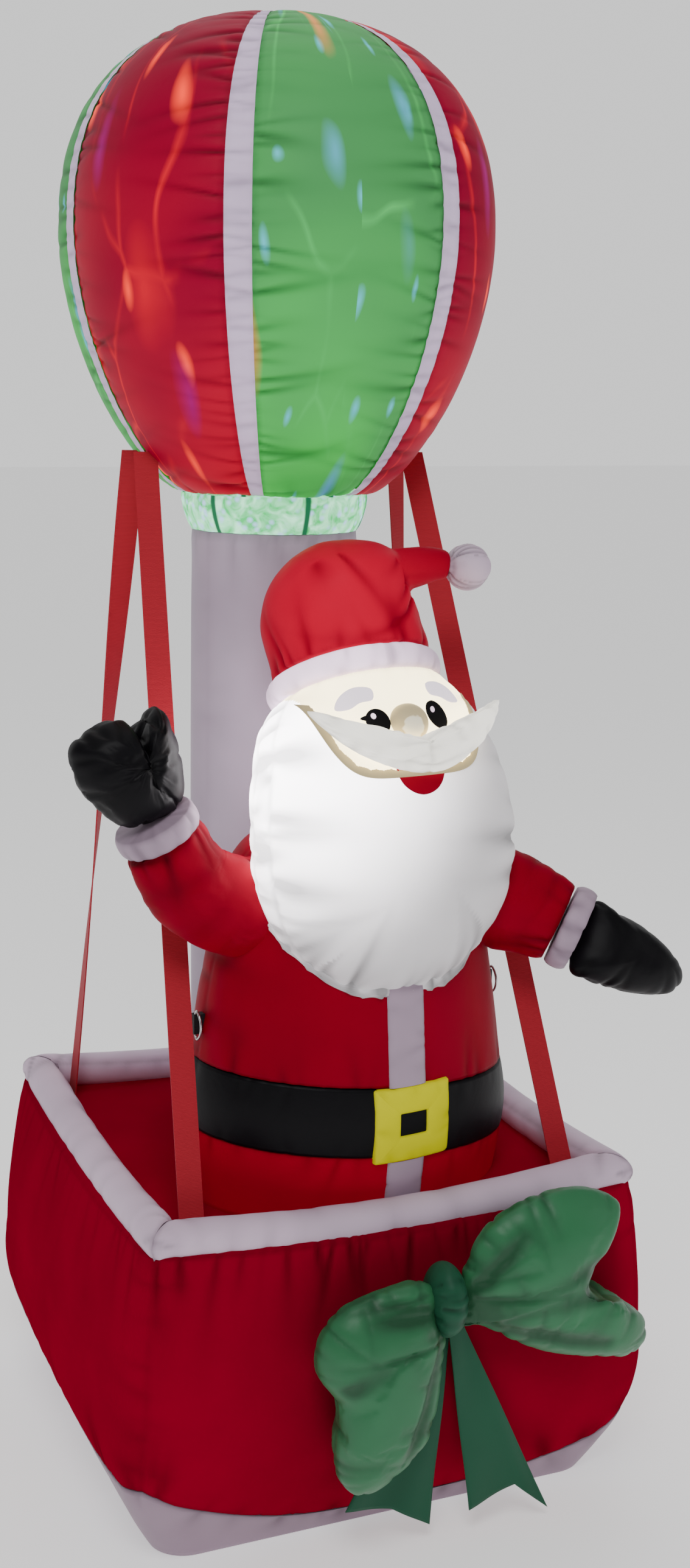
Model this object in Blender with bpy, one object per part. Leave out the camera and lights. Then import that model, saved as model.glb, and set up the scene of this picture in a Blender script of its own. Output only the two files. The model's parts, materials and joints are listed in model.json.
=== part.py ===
"""Inflatable garden figure in the basket of a hot-air balloon.

Sewn nylon, blown up and standing on its own flat base. Metres, +Z up, origin at the
centre of the base on the ground. The basket's front faces -Y.
"""
from math import cos, pi, radians, sin

import bmesh
import bpy
from mathutils import Vector

# Clearance between touching pieces
GAP = 0.0003

# Basket: a soft square box that swells between its base and its rim
BASE_HALF = 0.319
BULGE_HALF = 0.395
BULGE_Z = 0.240
SIDE_SWELL = 0.06
SIDE_BELLY = 0.016
BASE_CORNER = 0.16
BULGE_CORNER = 0.22
TOP_CORNER = 0.12
DECK_CORNER = 0.03
SEAM_MID_Z = 0.031
SEAM_SIDE_Z = 0.090
SEAM_CORNER_Z = 0.130
SEAM_LEAN = 0.020
SEAM_POWER = 3.2
SEAM_BEND = 1.2
SEAM_BLEND = 0.30

# Rim: four padded tubes, mitred at the corners, that sag between them
RIM_HALF = 0.336
RIM_TUBE = 0.055
RIM_CORNER_Z = 0.483
RIM_SAG = 0.020
RIM_LAP = 0.010
DECK_DROP = 0.013

# Column and collar that carry the balloon
COLUMN_Y = 0.173
COLUMN_R = 0.127
COLUMN_H = 0.917
COLLAR_H = 0.055
COLLAR_TOP_R = 0.142

# Balloon: six gores with a white tape along each seam
GORES = 6
BALLOON_R = 0.318
BALLOON_H = 0.678
BALLOON_WIDEST = 0.370
CROWN_POWER = 2.35
CROWN_R = 0.012
LOBE_DEPTH = 0.009
TAPE_HALF_ANGLE = radians(3.5)
TAPE_DEPTH_SHARE = 0.06

# Straps of flat webbing from the balloon down to the deck
STRAP_WIDTH = 0.035
STRAP_THICK = 0.002
STRAP_TOP_UP = 0.061
STRAP_SPREAD = 0.030
STRAP_CORNER_INSET = 0.052
STRAP_RIM_CLEAR = 0.008
STRAP_TURNS = ((radians(-20.0), 0.0), (radians(-20.0), 0.0),
               (radians(-20.0), radians(90.0)), (radians(20.0), radians(90.0)))

# The figure is a free form: its pose is drawn in metres at this height, from the
# deck to the top of the hat, and FIGURE_H sets the height that it is made at. Its
# girth and its place are the ones that the basket and the straps leave room for.
FIGURE_DRAWN_H = 0.925
FIGURE_H = 0.925
FIGURE_X = 0.005
FIGURE_Y = -0.136
FIGURE_TURN = radians(6.0)
BODY_RX = 0.247
BODY_RY = 0.178
BODY_H = 0.545
BELT_UP = 0.087
BELT_WIDTH = 0.100
BELT_SLOPE = -0.10
PLACKET_WIDTH = 0.057
PLACKET_THICK = 0.004
BUCKLE_WIDTH = 0.120
BUCKLE_HEIGHT = 0.108
BUCKLE_S = 0.008
BUCKLE_THICK = 0.007
BUCKLE_HOLE = (0.042, 0.032)
HEAD_F = 0.030
HEAD_UP = 0.670
HEAD_TILT = radians(28.0)
HEAD_R = 0.120
HEAD_SIDES = 20
BRIM_LOW = 0.046
BRIM_WIDTH = 0.036
BRIM_R = 0.122
BEARD_F = 0.100
BEARD_UP = 0.500
BEARD_R = (0.194, 0.118, 0.188)
BEARD_TOP = 0.020
BEARD_LEAN = 0.055
POMPOM_R = 0.033
CUFF_WIDTH = 0.032
CUFF_PUFF = 0.004
TETHER_UP = 0.262
RING_WIRE = 0.0035
RING_SIZE = (0.020, 0.021)
RING_STAND_OFF = 0.006
TAB_WIDTH = 0.012
TAB_HEIGHT = 0.028
TAB_ROOT = 0.016

# The bow is a free form too, drawn in metres at this width across its loops
BOW_DRAWN_WIDTH = 0.474
BOW_WIDTH = 0.474
BOW_X = 0.025
BOW_Z = 0.385
BOW_LOOP_DEPTH = 0.052
BOW_KNOT_DEPTH = 0.040
BOW_STAND_OFF = 0.046
BOW_TAIL_THICK = 0.003

RIM_LOW_Z = RIM_CORNER_Z - RIM_SAG
DECK_Z = RIM_LOW_Z - DECK_DROP
RIM_TOP_HALF = RIM_HALF + RIM_TUBE / 2
COLUMN_TOP_Z = DECK_Z + COLUMN_H
COLLAR_TOP_Z = COLUMN_TOP_Z + COLLAR_H
BALLOON_LOW_Z = COLLAR_TOP_Z + GAP
FIGURE_SCALE = FIGURE_H / FIGURE_DRAWN_H
BOW_SCALE = BOW_WIDTH / BOW_DRAWN_WIDTH
BOW_Y = -BULGE_HALF - BOW_STAND_OFF * BOW_SCALE

RED = (0.62, 0.012, 0.020)
DARK_RED = (0.48, 0.010, 0.016)
GREEN = (0.02, 0.33, 0.08)
BOW_GREEN = (0.012, 0.22, 0.07)
WHITE = (0.80, 0.78, 0.86)
WARM_WHITE = (0.92, 0.92, 0.88)
CREAM = (0.90, 0.84, 0.62)
GREY = (0.52, 0.53, 0.56)
BLACK = (0.012, 0.012, 0.014)
YELLOW = (0.86, 0.76, 0.03)
STEEL = (0.55, 0.55, 0.57)
NYLON_ROUGHNESS = 0.55


def finish(name, colour, roughness=NYLON_ROUGHNESS, metallic=0.0):
    """One material for one sub-part."""
    material = bpy.data.materials.new(name)
    material.use_nodes = True
    shader = material.node_tree.nodes["Principled BSDF"]
    shader.inputs["Base Color"].default_value = (*colour, 1.0)
    shader.inputs["Roughness"].default_value = roughness
    shader.inputs["Metallic"].default_value = metallic
    return material


def add_object(name, points, faces, material, smooth=True):
    """A closed mesh object with outward faces, split into triangles."""
    mesh = bpy.data.meshes.new(name)
    mesh.from_pydata([tuple(p) for p in points], [], faces)
    work = bmesh.new()
    work.from_mesh(mesh)
    bmesh.ops.triangulate(work, faces=work.faces[:])
    bmesh.ops.recalc_face_normals(work, faces=work.faces[:])
    work.to_mesh(mesh)
    work.free()
    if smooth:
        mesh.shade_smooth()
        mesh.set_sharp_from_angle(angle=radians(40.0))
    if material is not None:
        mesh.materials.append(material)
    made = bpy.data.objects.new(name, mesh)
    bpy.context.scene.collection.objects.link(made)
    return made


def loft(name, rings, material, smooth=True, closed=False):
    """Joins rings of points into a skin. A ring of one point is a tip."""
    points = [p for ring in rings for p in ring]
    starts = []
    total = 0
    for ring in rings:
        starts.append(total)
        total += len(ring)
    faces = []
    count = max(len(ring) for ring in rings)
    pairs = list(zip(range(len(rings) - 1), range(1, len(rings))))
    if closed:
        pairs.append((len(rings) - 1, 0))
    for low, high in pairs:
        for i in range(count):
            j = (i + 1) % count
            if len(rings[low]) == 1:
                faces.append((starts[low], starts[high] + j, starts[high] + i))
            elif len(rings[high]) == 1:
                faces.append((starts[low] + i, starts[low] + j, starts[high]))
            else:
                a, b = starts[low] + i, starts[low] + j
                c, d = starts[high] + j, starts[high] + i
                faces.append((a, b, c, d))
    if not closed:
        for ring, start in ((rings[0], starts[0]), (rings[-1], starts[-1])):
            if len(ring) > 1:
                points.append(sum((Vector(p) for p in ring), Vector()) / len(ring))
                hub = len(points) - 1
                for i in range(len(ring)):
                    faces.append((start + i, start + (i + 1) % len(ring), hub))
    return add_object(name, points, faces, material, smooth)


def smooth_curve(points, steps, looped=False):
    """A Catmull-Rom curve through a few chosen points of any dimension."""
    count = len(points)
    spans = count if looped else count - 1
    out = []
    for span in range(spans):
        p = []
        for offset in (-1, 0, 1, 2):
            index = span + offset
            if looped:
                p.append(points[index % count])
            else:
                p.append(points[min(max(index, 0), count - 1)])
        for step in range(steps):
            t = step / steps
            out.append(tuple(
                0.5 * (2 * b + (c - a) * t + (2 * a - 5 * b + 4 * c - d) * t * t
                       + (3 * b - a - 3 * c + d) * t ** 3)
                for a, b, c, d in zip(*p)))
    if not looped:
        out.append(tuple(points[-1]))
    return out


def hide_tool(tool):
    """Marks a cutter, so that it is not a piece of the object."""
    tool.hide_render = True
    tool.display_type = "WIRE"
    return tool


def boolean(target, tool, operation):
    """Adds one live Boolean to a piece."""
    change = target.modifiers.new(operation.title() + "_" + tool.name, "BOOLEAN")
    change.operation = operation
    change.solver = "EXACT"
    change.object = tool


def grown_copy(piece, gap=GAP):
    """A hidden copy of a finished piece, swollen by the clearance."""
    bpy.context.view_layer.update()
    seen = piece.evaluated_get(bpy.context.evaluated_depsgraph_get())
    mesh = bpy.data.meshes.new_from_object(seen)
    work = bmesh.new()
    work.from_mesh(mesh)
    work.normal_update()
    moves = [(v, v.normal * gap * min(v.calc_shell_factor(), 2.0)) for v in work.verts]
    for vertex, move in moves:
        vertex.co += move
    work.to_mesh(mesh)
    work.free()
    tool = bpy.data.objects.new("room_for_" + piece.name, mesh)
    bpy.context.scene.collection.objects.link(tool)
    return hide_tool(tool)


def seat_on(piece, *neighbours):
    """Cuts a soft piece back to where its neighbours are, with a clearance."""
    for neighbour in neighbours:
        boolean(piece, grown_copy(neighbour), "DIFFERENCE")


def pillow(name, outline, depth, place, material, shares=(1.0, 0.9, 0.64)):
    """A sewn cushion: a seam along the outline and two bulging faces."""
    middle = [sum(p[k] for p in outline) / len(outline) for k in (0, 1)]

    def ring(share, side):
        out = side * depth * (1.0 - share ** 2.4) ** 0.6
        return [place(middle[0] + share * (p[0] - middle[0]), out,
                      middle[1] + share * (p[1] - middle[1])) for p in outline]

    rings = [[place(middle[0], -depth, middle[1])]]
    rings += [ring(share, -1) for share in reversed(shares)]
    rings += [ring(share, 1) for share in shares[1:]]
    rings += [[place(middle[0], depth, middle[1])]]
    return loft(name, rings, material)


def sausage(name, path, radii, material, sides=14, squash=1.0):
    """A soft tube along a path, with flat ends square to it."""
    rings = []
    for i, (point, radius) in enumerate(zip(path, radii)):
        before = Vector(path[max(i - 1, 0)])
        after = Vector(path[min(i + 1, len(path) - 1)])
        along = (after - before).normalized()
        across = along.cross(Vector((0.0, 1.0, 0.0))).normalized()
        deep = across.cross(along).normalized()
        rings.append([Vector(point) + across * radius * cos(a)
                      + deep * radius * squash * sin(a)
                      for a in (2 * pi * k / sides for k in range(sides))])
    return loft(name, rings, material)


# Basket

def unit_square(corner, side_steps=6, corner_steps=3):
    """A square of half side 1 with round corners, as points around it."""
    quarter = []
    straight = 1.0 - corner
    for step in range(side_steps):
        quarter.append((straight * (2 * step / side_steps - 1), -1.0))
    for step in range(corner_steps):
        turn = pi / 2 * step / corner_steps
        quarter.append((straight + corner * sin(turn), -straight - corner * cos(turn)))
    ring = []
    for side in range(4):
        c, s = cos(side * pi / 2), sin(side * pi / 2)
        ring += [(x * c - y * s, x * s + y * c) for x, y in quarter]
    return ring


def basket_half(z):
    """Half the basket's width at a height."""
    if z < BULGE_Z:
        return BASE_HALF + (BULGE_HALF - BASE_HALF) * sin(pi / 2 * max(z, 0) / BULGE_Z)
    share = min((z - BULGE_Z) / (RIM_CORNER_Z - BULGE_Z), 1.0)
    return RIM_TOP_HALF + (BULGE_HALF - RIM_TOP_HALF) * cos(pi / 2 * share)


def seam_z(x, along, sideways):
    """Height of the sewn edge of the white base. It is higher on the two sides than on the front,
    and climbs higher and sooner to the left corners than to the right ones."""
    middle = SEAM_MID_Z + (SEAM_SIDE_Z - SEAM_MID_Z) * sideways
    corner = SEAM_CORNER_Z - SEAM_LEAN * x
    return middle + (corner - middle) * along ** (SEAM_POWER + SEAM_BEND * x)


def rim_z(along):
    """Height of the rim tube's centre line, at a share of the side."""
    return RIM_CORNER_Z - RIM_SAG * (1.0 - along ** 2)


def basket_ring(corner, height):
    """One ring of the basket. The height depends on the place along the side and on which side."""
    ring = []
    for x, y in unit_square(corner):
        sideways = min(max(0.5 + (abs(x) - abs(y)) / SEAM_BLEND, 0.0), 1.0)
        z = height(x, min(abs(x), abs(y)), sideways)
        half = basket_half(z)
        # The two sides swell out low down, where the front and back stay straight
        wide = half * (1.0 + SIDE_SWELL * cos(pi / 2 * min(z / BULGE_Z, 1.0)))
        wide += SIDE_BELLY * (1.0 - y * y) * sin(pi * min(z / RIM_CORNER_Z, 1.0))
        ring.append((x * wide, y * half, z))
    return ring


def make_basket(material_red, material_white, material_rim):
    """White base, red swelling sides with a closed deck, and the padded rim."""
    base_rings = [
        basket_ring(BASE_CORNER, lambda x, along, sideways: 0.0),
        basket_ring(BASE_CORNER, lambda x, along, sideways: 0.5 * seam_z(x, along, sideways)),
        basket_ring(BASE_CORNER, seam_z),
    ]
    base = loft("basket_base", base_rings, material_white)

    def at(share):
        def height(x, along, sideways):
            low = seam_z(x, along, sideways) + GAP
            return (1 - share) * low + share * (rim_z(along) - RIM_LAP)
        return height

    rings = []
    for share in (0.0, 0.16, 0.34, 0.52, 0.72, 0.88, 1.0):
        swell = sin(pi * min(share * 1.1, 1.0))
        ends = BASE_CORNER + (TOP_CORNER - BASE_CORNER) * share
        rings.append(basket_ring(ends + (BULGE_CORNER - ends) * swell, at(share)))
    edge = RIM_HALF - RIM_TUBE / 2 - STRAP_RIM_CLEAR / 2
    rings.append([(x * edge, y * edge, DECK_Z) for x, y in unit_square(DECK_CORNER)])
    basket = loft("basket", rings, material_red)

    for side in range(4):
        rim_side(side, material_rim)
    ring_tool = loft("room_for_rim", rim_loop(RIM_TUBE / 2 + GAP), None, closed=True)
    boolean(basket, hide_tool(ring_tool), "DIFFERENCE")
    return base, basket, ring_tool


def rim_section(along, radius, sides=10):
    """The rim tube's section, in the frame of the front side."""
    section = []
    for k in range(sides):
        turn = 2 * pi * (k + 0.5) / sides
        out = radius * cos(turn)
        x = along * (RIM_HALF + out)
        section.append((x, -RIM_HALF - out, rim_z(abs(along)) + radius * sin(turn)))
    return section


def turned(points, side):
    """Turns points of the front side to another side of the basket."""
    c, s = cos(side * pi / 2), sin(side * pi / 2)
    return [(x * c - y * s, x * s + y * c, z) for x, y, z in points]


def rim_side(side, material, steps=6):
    """One rim tube, cut at 45 degrees at both ends."""
    name = "rim_" + ("front", "right", "back", "left")[side]
    rings = []
    for step in range(steps + 1):
        along = 2 * step / steps - 1
        section = rim_section(along, RIM_TUBE / 2)
        rings.append([(x - along * GAP, y, z) for x, y, z in section])
    return loft(name, [turned(ring, side) for ring in rings], material)


def rim_loop(radius, steps=6):
    """The whole rim as one loop, a cutter for what lies against it."""
    rings = []
    for side in range(4):
        for step in range(steps):
            rings.append(turned(rim_section(2 * step / steps - 1, radius), side))
    return rings


# Column, collar and balloon

def circle(x, y, z, radius, sides=32):
    """A level ring of points."""
    return [(x + radius * cos(2 * pi * k / sides), y + radius * sin(2 * pi * k / sides), z)
            for k in range(sides)]


def balloon_radius(up):
    """Radius of the balloon at a height above its lower seam."""
    if up < BALLOON_WIDEST:
        share = 1.0 - up / BALLOON_WIDEST
        swell = max(1.0 - share ** 1.8, 0.0) ** 0.72
        return COLLAR_TOP_R + (BALLOON_R - COLLAR_TOP_R) * swell
    share = (up - BALLOON_WIDEST) / (BALLOON_H - BALLOON_WIDEST)
    return max(BALLOON_R * (1.0 - share ** CROWN_POWER) ** (1 / CROWN_POWER), CROWN_R)


def balloon_levels():
    """Heights of the rings, closer together where the skin turns in."""
    low = [BALLOON_WIDEST * share for share in (0.0, 0.1, 0.27, 0.5, 0.76)]
    crown = BALLOON_H - BALLOON_WIDEST
    high = [BALLOON_WIDEST + crown * sin(pi / 2 * k / 6) for k in range(7)]
    return low + high


def balloon_place(angle, radius, up):
    """A point of the balloon. Angle 0 faces the front."""
    return (radius * sin(angle), COLUMN_Y - radius * cos(angle), BALLOON_LOW_Z + up)


def lobed(radius, turn):
    """Radius of a gore's skin, which lies lower towards its seams."""
    share = abs(turn) / (pi / GORES)
    return radius - LOBE_DEPTH * share ** 2 * radius / BALLOON_R


def tape_place(tape, side, along, aside, up):
    """A point beside a tape: along its outward direction, and aside from its middle."""
    angle = 2 * pi * (tape + 0.5) / GORES
    x = along * sin(angle) + side * aside * cos(angle)
    y = along * cos(angle) - side * aside * sin(angle)
    return (x, COLUMN_Y - y, BALLOON_LOW_Z + up)


def make_gore(index, material, arc_steps=4):
    """One gore with all the air behind it, as a wedge between two tapes."""
    centre = 2 * pi * index / GORES
    edge = pi / GORES
    wide, deep = sin(TAPE_HALF_ANGLE), cos(TAPE_HALF_ANGLE)
    rings = []
    for up in balloon_levels():
        radius = balloon_radius(up)
        skin = lobed(radius, edge)
        root = skin * (1 - TAPE_DEPTH_SHARE) * deep - GAP
        inner = (root, (root + GAP * wide) * wide / deep + GAP * deep)
        outer = (skin * deep - GAP * wide, skin * wide + GAP * deep)
        before, after = index - 1, index
        ring = [balloon_place(centre, GAP, up)]
        ring.append(tape_place(before, 1, root, GAP / 2, up))
        ring.append(tape_place(before, 1, *inner, up))
        ring.append(tape_place(before, 1, *outer, up))
        reach = edge - TAPE_HALF_ANGLE
        for step in range(1, arc_steps):
            turn = reach * (2 * step / arc_steps - 1)
            ring.append(balloon_place(centre + turn, lobed(radius, turn), up))
        ring.append(tape_place(after, -1, *outer, up))
        ring.append(tape_place(after, -1, *inner, up))
        ring.append(tape_place(after, -1, root, GAP / 2, up))
        rings.append(ring)
    return loft("gore_%d" % (index + 1), rings, material)


def make_tape(index, material):
    """The white tape sewn between two gores."""
    wide, deep = sin(TAPE_HALF_ANGLE), cos(TAPE_HALF_ANGLE)
    rings = []
    for up in balloon_levels():
        skin = lobed(balloon_radius(up), pi / GORES)
        root = skin * (1 - TAPE_DEPTH_SHARE)
        rings.append([tape_place(index, side, reach * deep, reach * wide, up)
                      for side, reach in ((-1, root), (-1, skin), (1, skin), (1, root))])
    return loft("balloon_tape_%d" % (index + 1), rings, material)


def make_column(material):
    """Plain tube between the deck and the collar."""
    rings = [circle(0, COLUMN_Y, z, COLUMN_R) for z in (DECK_Z + GAP, COLUMN_TOP_Z - GAP)]
    return loft("column", rings, material)


def make_collar(material):
    """The lit collar under the balloon, wider at its top."""
    rings = [circle(0, COLUMN_Y, COLUMN_TOP_Z, COLUMN_R),
             circle(0, COLUMN_Y, COLLAR_TOP_Z, COLLAR_TOP_R)]
    return loft("collar", rings, material)


def make_strap(name, side, end, turns, material, against, steps=6):
    """One strap, from the balloon's side to the deck behind a rim corner. It turns on
    its way down, and its top is cut where it is sewn to the balloon."""
    reach = balloon_radius(STRAP_TOP_UP)
    top = Vector((side * reach, COLUMN_Y + end * STRAP_SPREAD, BALLOON_LOW_Z + STRAP_TOP_UP))
    inner = RIM_HALF - RIM_TUBE / 2 - STRAP_RIM_CLEAR
    corner = RIM_HALF - STRAP_CORNER_INSET
    # A front strap lies along the front rim tube, a back strap along the side tube
    x, y = (corner, inner) if end < 0 else (inner, corner - STRAP_WIDTH / 4)
    foot = Vector((side * x, end * y, DECK_Z + GAP))
    rings = []
    for step in range(steps + 1):
        share = step / steps
        middle = top.lerp(foot, share)
        turn = turns[0] + (turns[1] - turns[0]) * sin(pi / 2 * share)
        wide = Vector((cos(turn), sin(turn), 0.0)) * STRAP_WIDTH / 2
        thin = Vector((-sin(turn), cos(turn), 0.0)) * STRAP_THICK / 2
        rings.append([middle - wide - thin, middle + wide - thin,
                      middle + wide + thin, middle - wide + thin])
    strap = loft(name, rings, material, smooth=False)
    seat_on(strap, *against)
    return strap


# Figure

def figure_point(s, f, up):
    """A point of the figure: s to its side, f forwards, up from the deck."""
    c, t = cos(FIGURE_TURN), sin(FIGURE_TURN)
    return (FIGURE_X + s * c + f * t, FIGURE_Y + s * t - f * c,
            DECK_Z + GAP + up * FIGURE_SCALE)


def body_half(up):
    """Half width and half depth of the body at a height."""
    outline = ((0.00, 0.955, 0.92), (0.22, 1.00, 1.00), (0.42, 0.945, 0.96),
               (0.62, 0.87, 0.90), (0.80, 0.79, 0.82), (0.92, 0.66, 0.68), (1.00, 0.36, 0.38))
    level = min(up / BODY_H, 1.0)
    for low, high in zip(outline, outline[1:]):
        if level <= high[0]:
            break
    share = (level - low[0]) / (high[0] - low[0])
    wide, deep = (a + (b - a) * share for a, b in zip(low[1:], high[1:]))
    return BODY_RX * wide, BODY_RY * deep


def body_ring(up, slope=0.0, sides=28):
    """A ring of the body, level or sloping down to one side."""
    wide, deep = body_half(up)
    return [figure_point(wide * sin(turn), deep * cos(turn), up + slope * wide * sin(turn))
            for turn in (2 * pi * k / sides for k in range(sides))]


def body_front(s, up, out):
    """A point over the front of the body, at a distance from its skin."""
    wide, deep = body_half(up)
    return figure_point(s, deep * (1 - (s / wide) ** 2) ** 0.5 + out, up)


def make_body(red, black):
    """Jacket skirt, belt and jacket, stacked as they are sewn."""
    belt_top = BELT_UP + BELT_WIDTH
    skirt = [body_ring(0.0)]
    skirt += [body_ring(up, BELT_SLOPE) for up in (BELT_UP / 2, BELT_UP - GAP)]
    belt = [body_ring(up, BELT_SLOPE) for up in (BELT_UP, BELT_UP + BELT_WIDTH / 2, belt_top)]
    rest = BODY_H - belt_top
    jacket = [body_ring(belt_top + GAP + share * (rest - GAP), BELT_SLOPE * (1 - share))
              for share in (0.0, 0.2, 0.4, 0.6, 0.75, 0.88, 1.0)]
    return (loft("jacket_skirt", skirt, red), loft("belt", belt, black),
            loft("jacket", jacket, red))


def front_strip(name, width, low, high, thick, material, rows=3, columns=4, middle=0.0):
    """A sewn-on strip that follows the front of the body."""
    rings = []
    for row in range(rows + 1):
        up = low + (high - low) * row / rows
        spots = [middle + width * (k / columns - 0.5) for k in range(columns + 1)]
        ring = [body_front(s, up, thick) for s in spots]
        ring += [body_front(s, up, -thick) for s in reversed(spots)]
        rings.append(ring)
    return loft(name, rings, material, smooth=False)


def head_point(s, n, h):
    """A point of the tilted head: s to its side, n towards its face, h up it."""
    c, t = cos(HEAD_TILT), sin(HEAD_TILT)
    return figure_point(s, HEAD_F + n * c - h * t, HEAD_UP + n * t + h * c)


def head_ring(radius, h, shift=0.0, sides=HEAD_SIDES):
    """A ring square to the head's own axis."""
    return [head_point(radius * sin(2 * pi * k / sides),
                       shift + radius * cos(2 * pi * k / sides), h)
            for k in range(sides)]


def make_head(material):
    """Head, cut flat where the hat's brim is sewn on."""
    rings = [[head_point(0.0, 0.0, -HEAD_R)]]
    for angle in (-65, -40, -15, 8):
        turn = radians(angle)
        rings.append(head_ring(HEAD_R * cos(turn), HEAD_R * sin(turn)))
    rings.append(head_ring(HEAD_R * 0.955, BRIM_LOW - GAP))
    return loft("head", rings, material)


def make_brim(material):
    """The hat's puffed white band."""
    levels = ((0.0, 0.955), (0.3, 1.0), (0.7, 1.0), (1.0, 0.955))
    rings = [head_ring(BRIM_R * wide, BRIM_LOW + share * BRIM_WIDTH) for share, wide in levels]
    return loft("hat_brim", rings, material)


def make_hat(material):
    """The hat: a soft dome with a peak that folds over to one side."""
    top = BRIM_LOW + BRIM_WIDTH + GAP
    dome = [head_ring(BRIM_R * 0.94, top), head_ring(BRIM_R * 0.925, top + 0.020, 0.004)]
    for radius, s, f, up, lean in ((0.108, -0.012, -0.034, 0.815, 0.75),
                                   (0.098, -0.008, -0.036, 0.862, 0.5),
                                   (0.076, 0.004, -0.034, 0.900, 0.25),
                                   (0.042, 0.012, -0.030, 0.920, 0.0)):
        tilt = HEAD_TILT * lean
        ring = []
        for k in range(HEAD_SIDES):
            turn = 2 * pi * k / HEAD_SIDES
            n = radius * cos(turn)
            ring.append(figure_point(s + radius * sin(turn), f + n * cos(tilt),
                                     up + n * sin(tilt)))
        dome.append(ring)
    dome.append([figure_point(0.015, -0.03, FIGURE_DRAWN_H)])
    hat = loft("hat", dome, material)
    path = smooth_curve([(0.02, -0.02, 0.865), (0.075, -0.008, 0.880), (0.12, 0.006, 0.888),
                         (0.142, 0.014, 0.886)], 3)
    radii = [0.046 - 0.027 * k / (len(path) - 1) for k in range(len(path))]
    peak = sausage("hat_peak", [figure_point(*p) for p in path], radii, None)
    boolean(hat, hide_tool(peak), "UNION")
    return hat


def ball(name, centre, radii, material, place, sides=14, rows=7):
    """A round body with three half sizes."""
    rings = [[place(centre[0], centre[1], centre[2] - radii[2])]]
    for row in range(1, rows):
        turn = pi * row / rows - pi / 2
        rings.append([place(centre[0] + radii[0] * cos(turn) * sin(2 * pi * k / sides),
                            centre[1] + radii[1] * cos(turn) * cos(2 * pi * k / sides),
                            centre[2] + radii[2] * sin(turn)) for k in range(sides)])
    rings.append([place(centre[0], centre[1], centre[2] + radii[2])])
    return loft(name, rings, material)


def make_beard(material, sides=20, rows=9):
    """The beard: one broad pillow in front of the chest, which reaches up to the brim
    at both sides of the face and leans back there."""
    def blunt(value):
        return abs(value) ** 0.9 * (1 if value > 0 else -1)

    rings = [[figure_point(0.0, BEARD_F, BEARD_UP - BEARD_R[2])]]
    for row in range(1, rows):
        rise = -cos(pi * row / rows)
        deep = (1.0 - rise * rise) ** 0.5
        high = max(rise, 0.0)
        wide = (1.0 - high ** 3.4) ** 0.38 if high else deep ** 0.85
        middle = BEARD_F - BEARD_LEAN * high ** 2
        ring = []
        for around in (2 * pi * k / sides for k in range(sides)):
            ring.append(figure_point(BEARD_R[0] * wide * blunt(sin(around)),
                                     middle + BEARD_R[1] * deep * blunt(cos(around)),
                                     BEARD_UP + (BEARD_R[2] + BEARD_TOP * high) * rise))
        rings.append(ring)
    top = BEARD_UP + BEARD_R[2] + BEARD_TOP
    rings.append([figure_point(0.0, BEARD_F - BEARD_LEAN, top)])
    return loft("beard", rings, material)


def make_moustache(material):
    """Two curled wings, sewn on under the nose."""
    half = [(0.000, 0.636), (0.050, 0.644), (0.105, 0.674), (0.148, 0.716),
            (0.100, 0.706), (0.050, 0.692), (0.000, 0.678)]
    outline = smooth_curve(half + [(-s, up) for s, up in reversed(half[1:-1])], 2, looped=True)

    def place(s, out, up):
        return figure_point(s, 0.200 - 1.9 * s * s - 0.25 * (up - 0.66) + out, up)

    return pillow("moustache", outline, 0.016, place, material, shares=(1.0, 0.8, 0.4))


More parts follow.
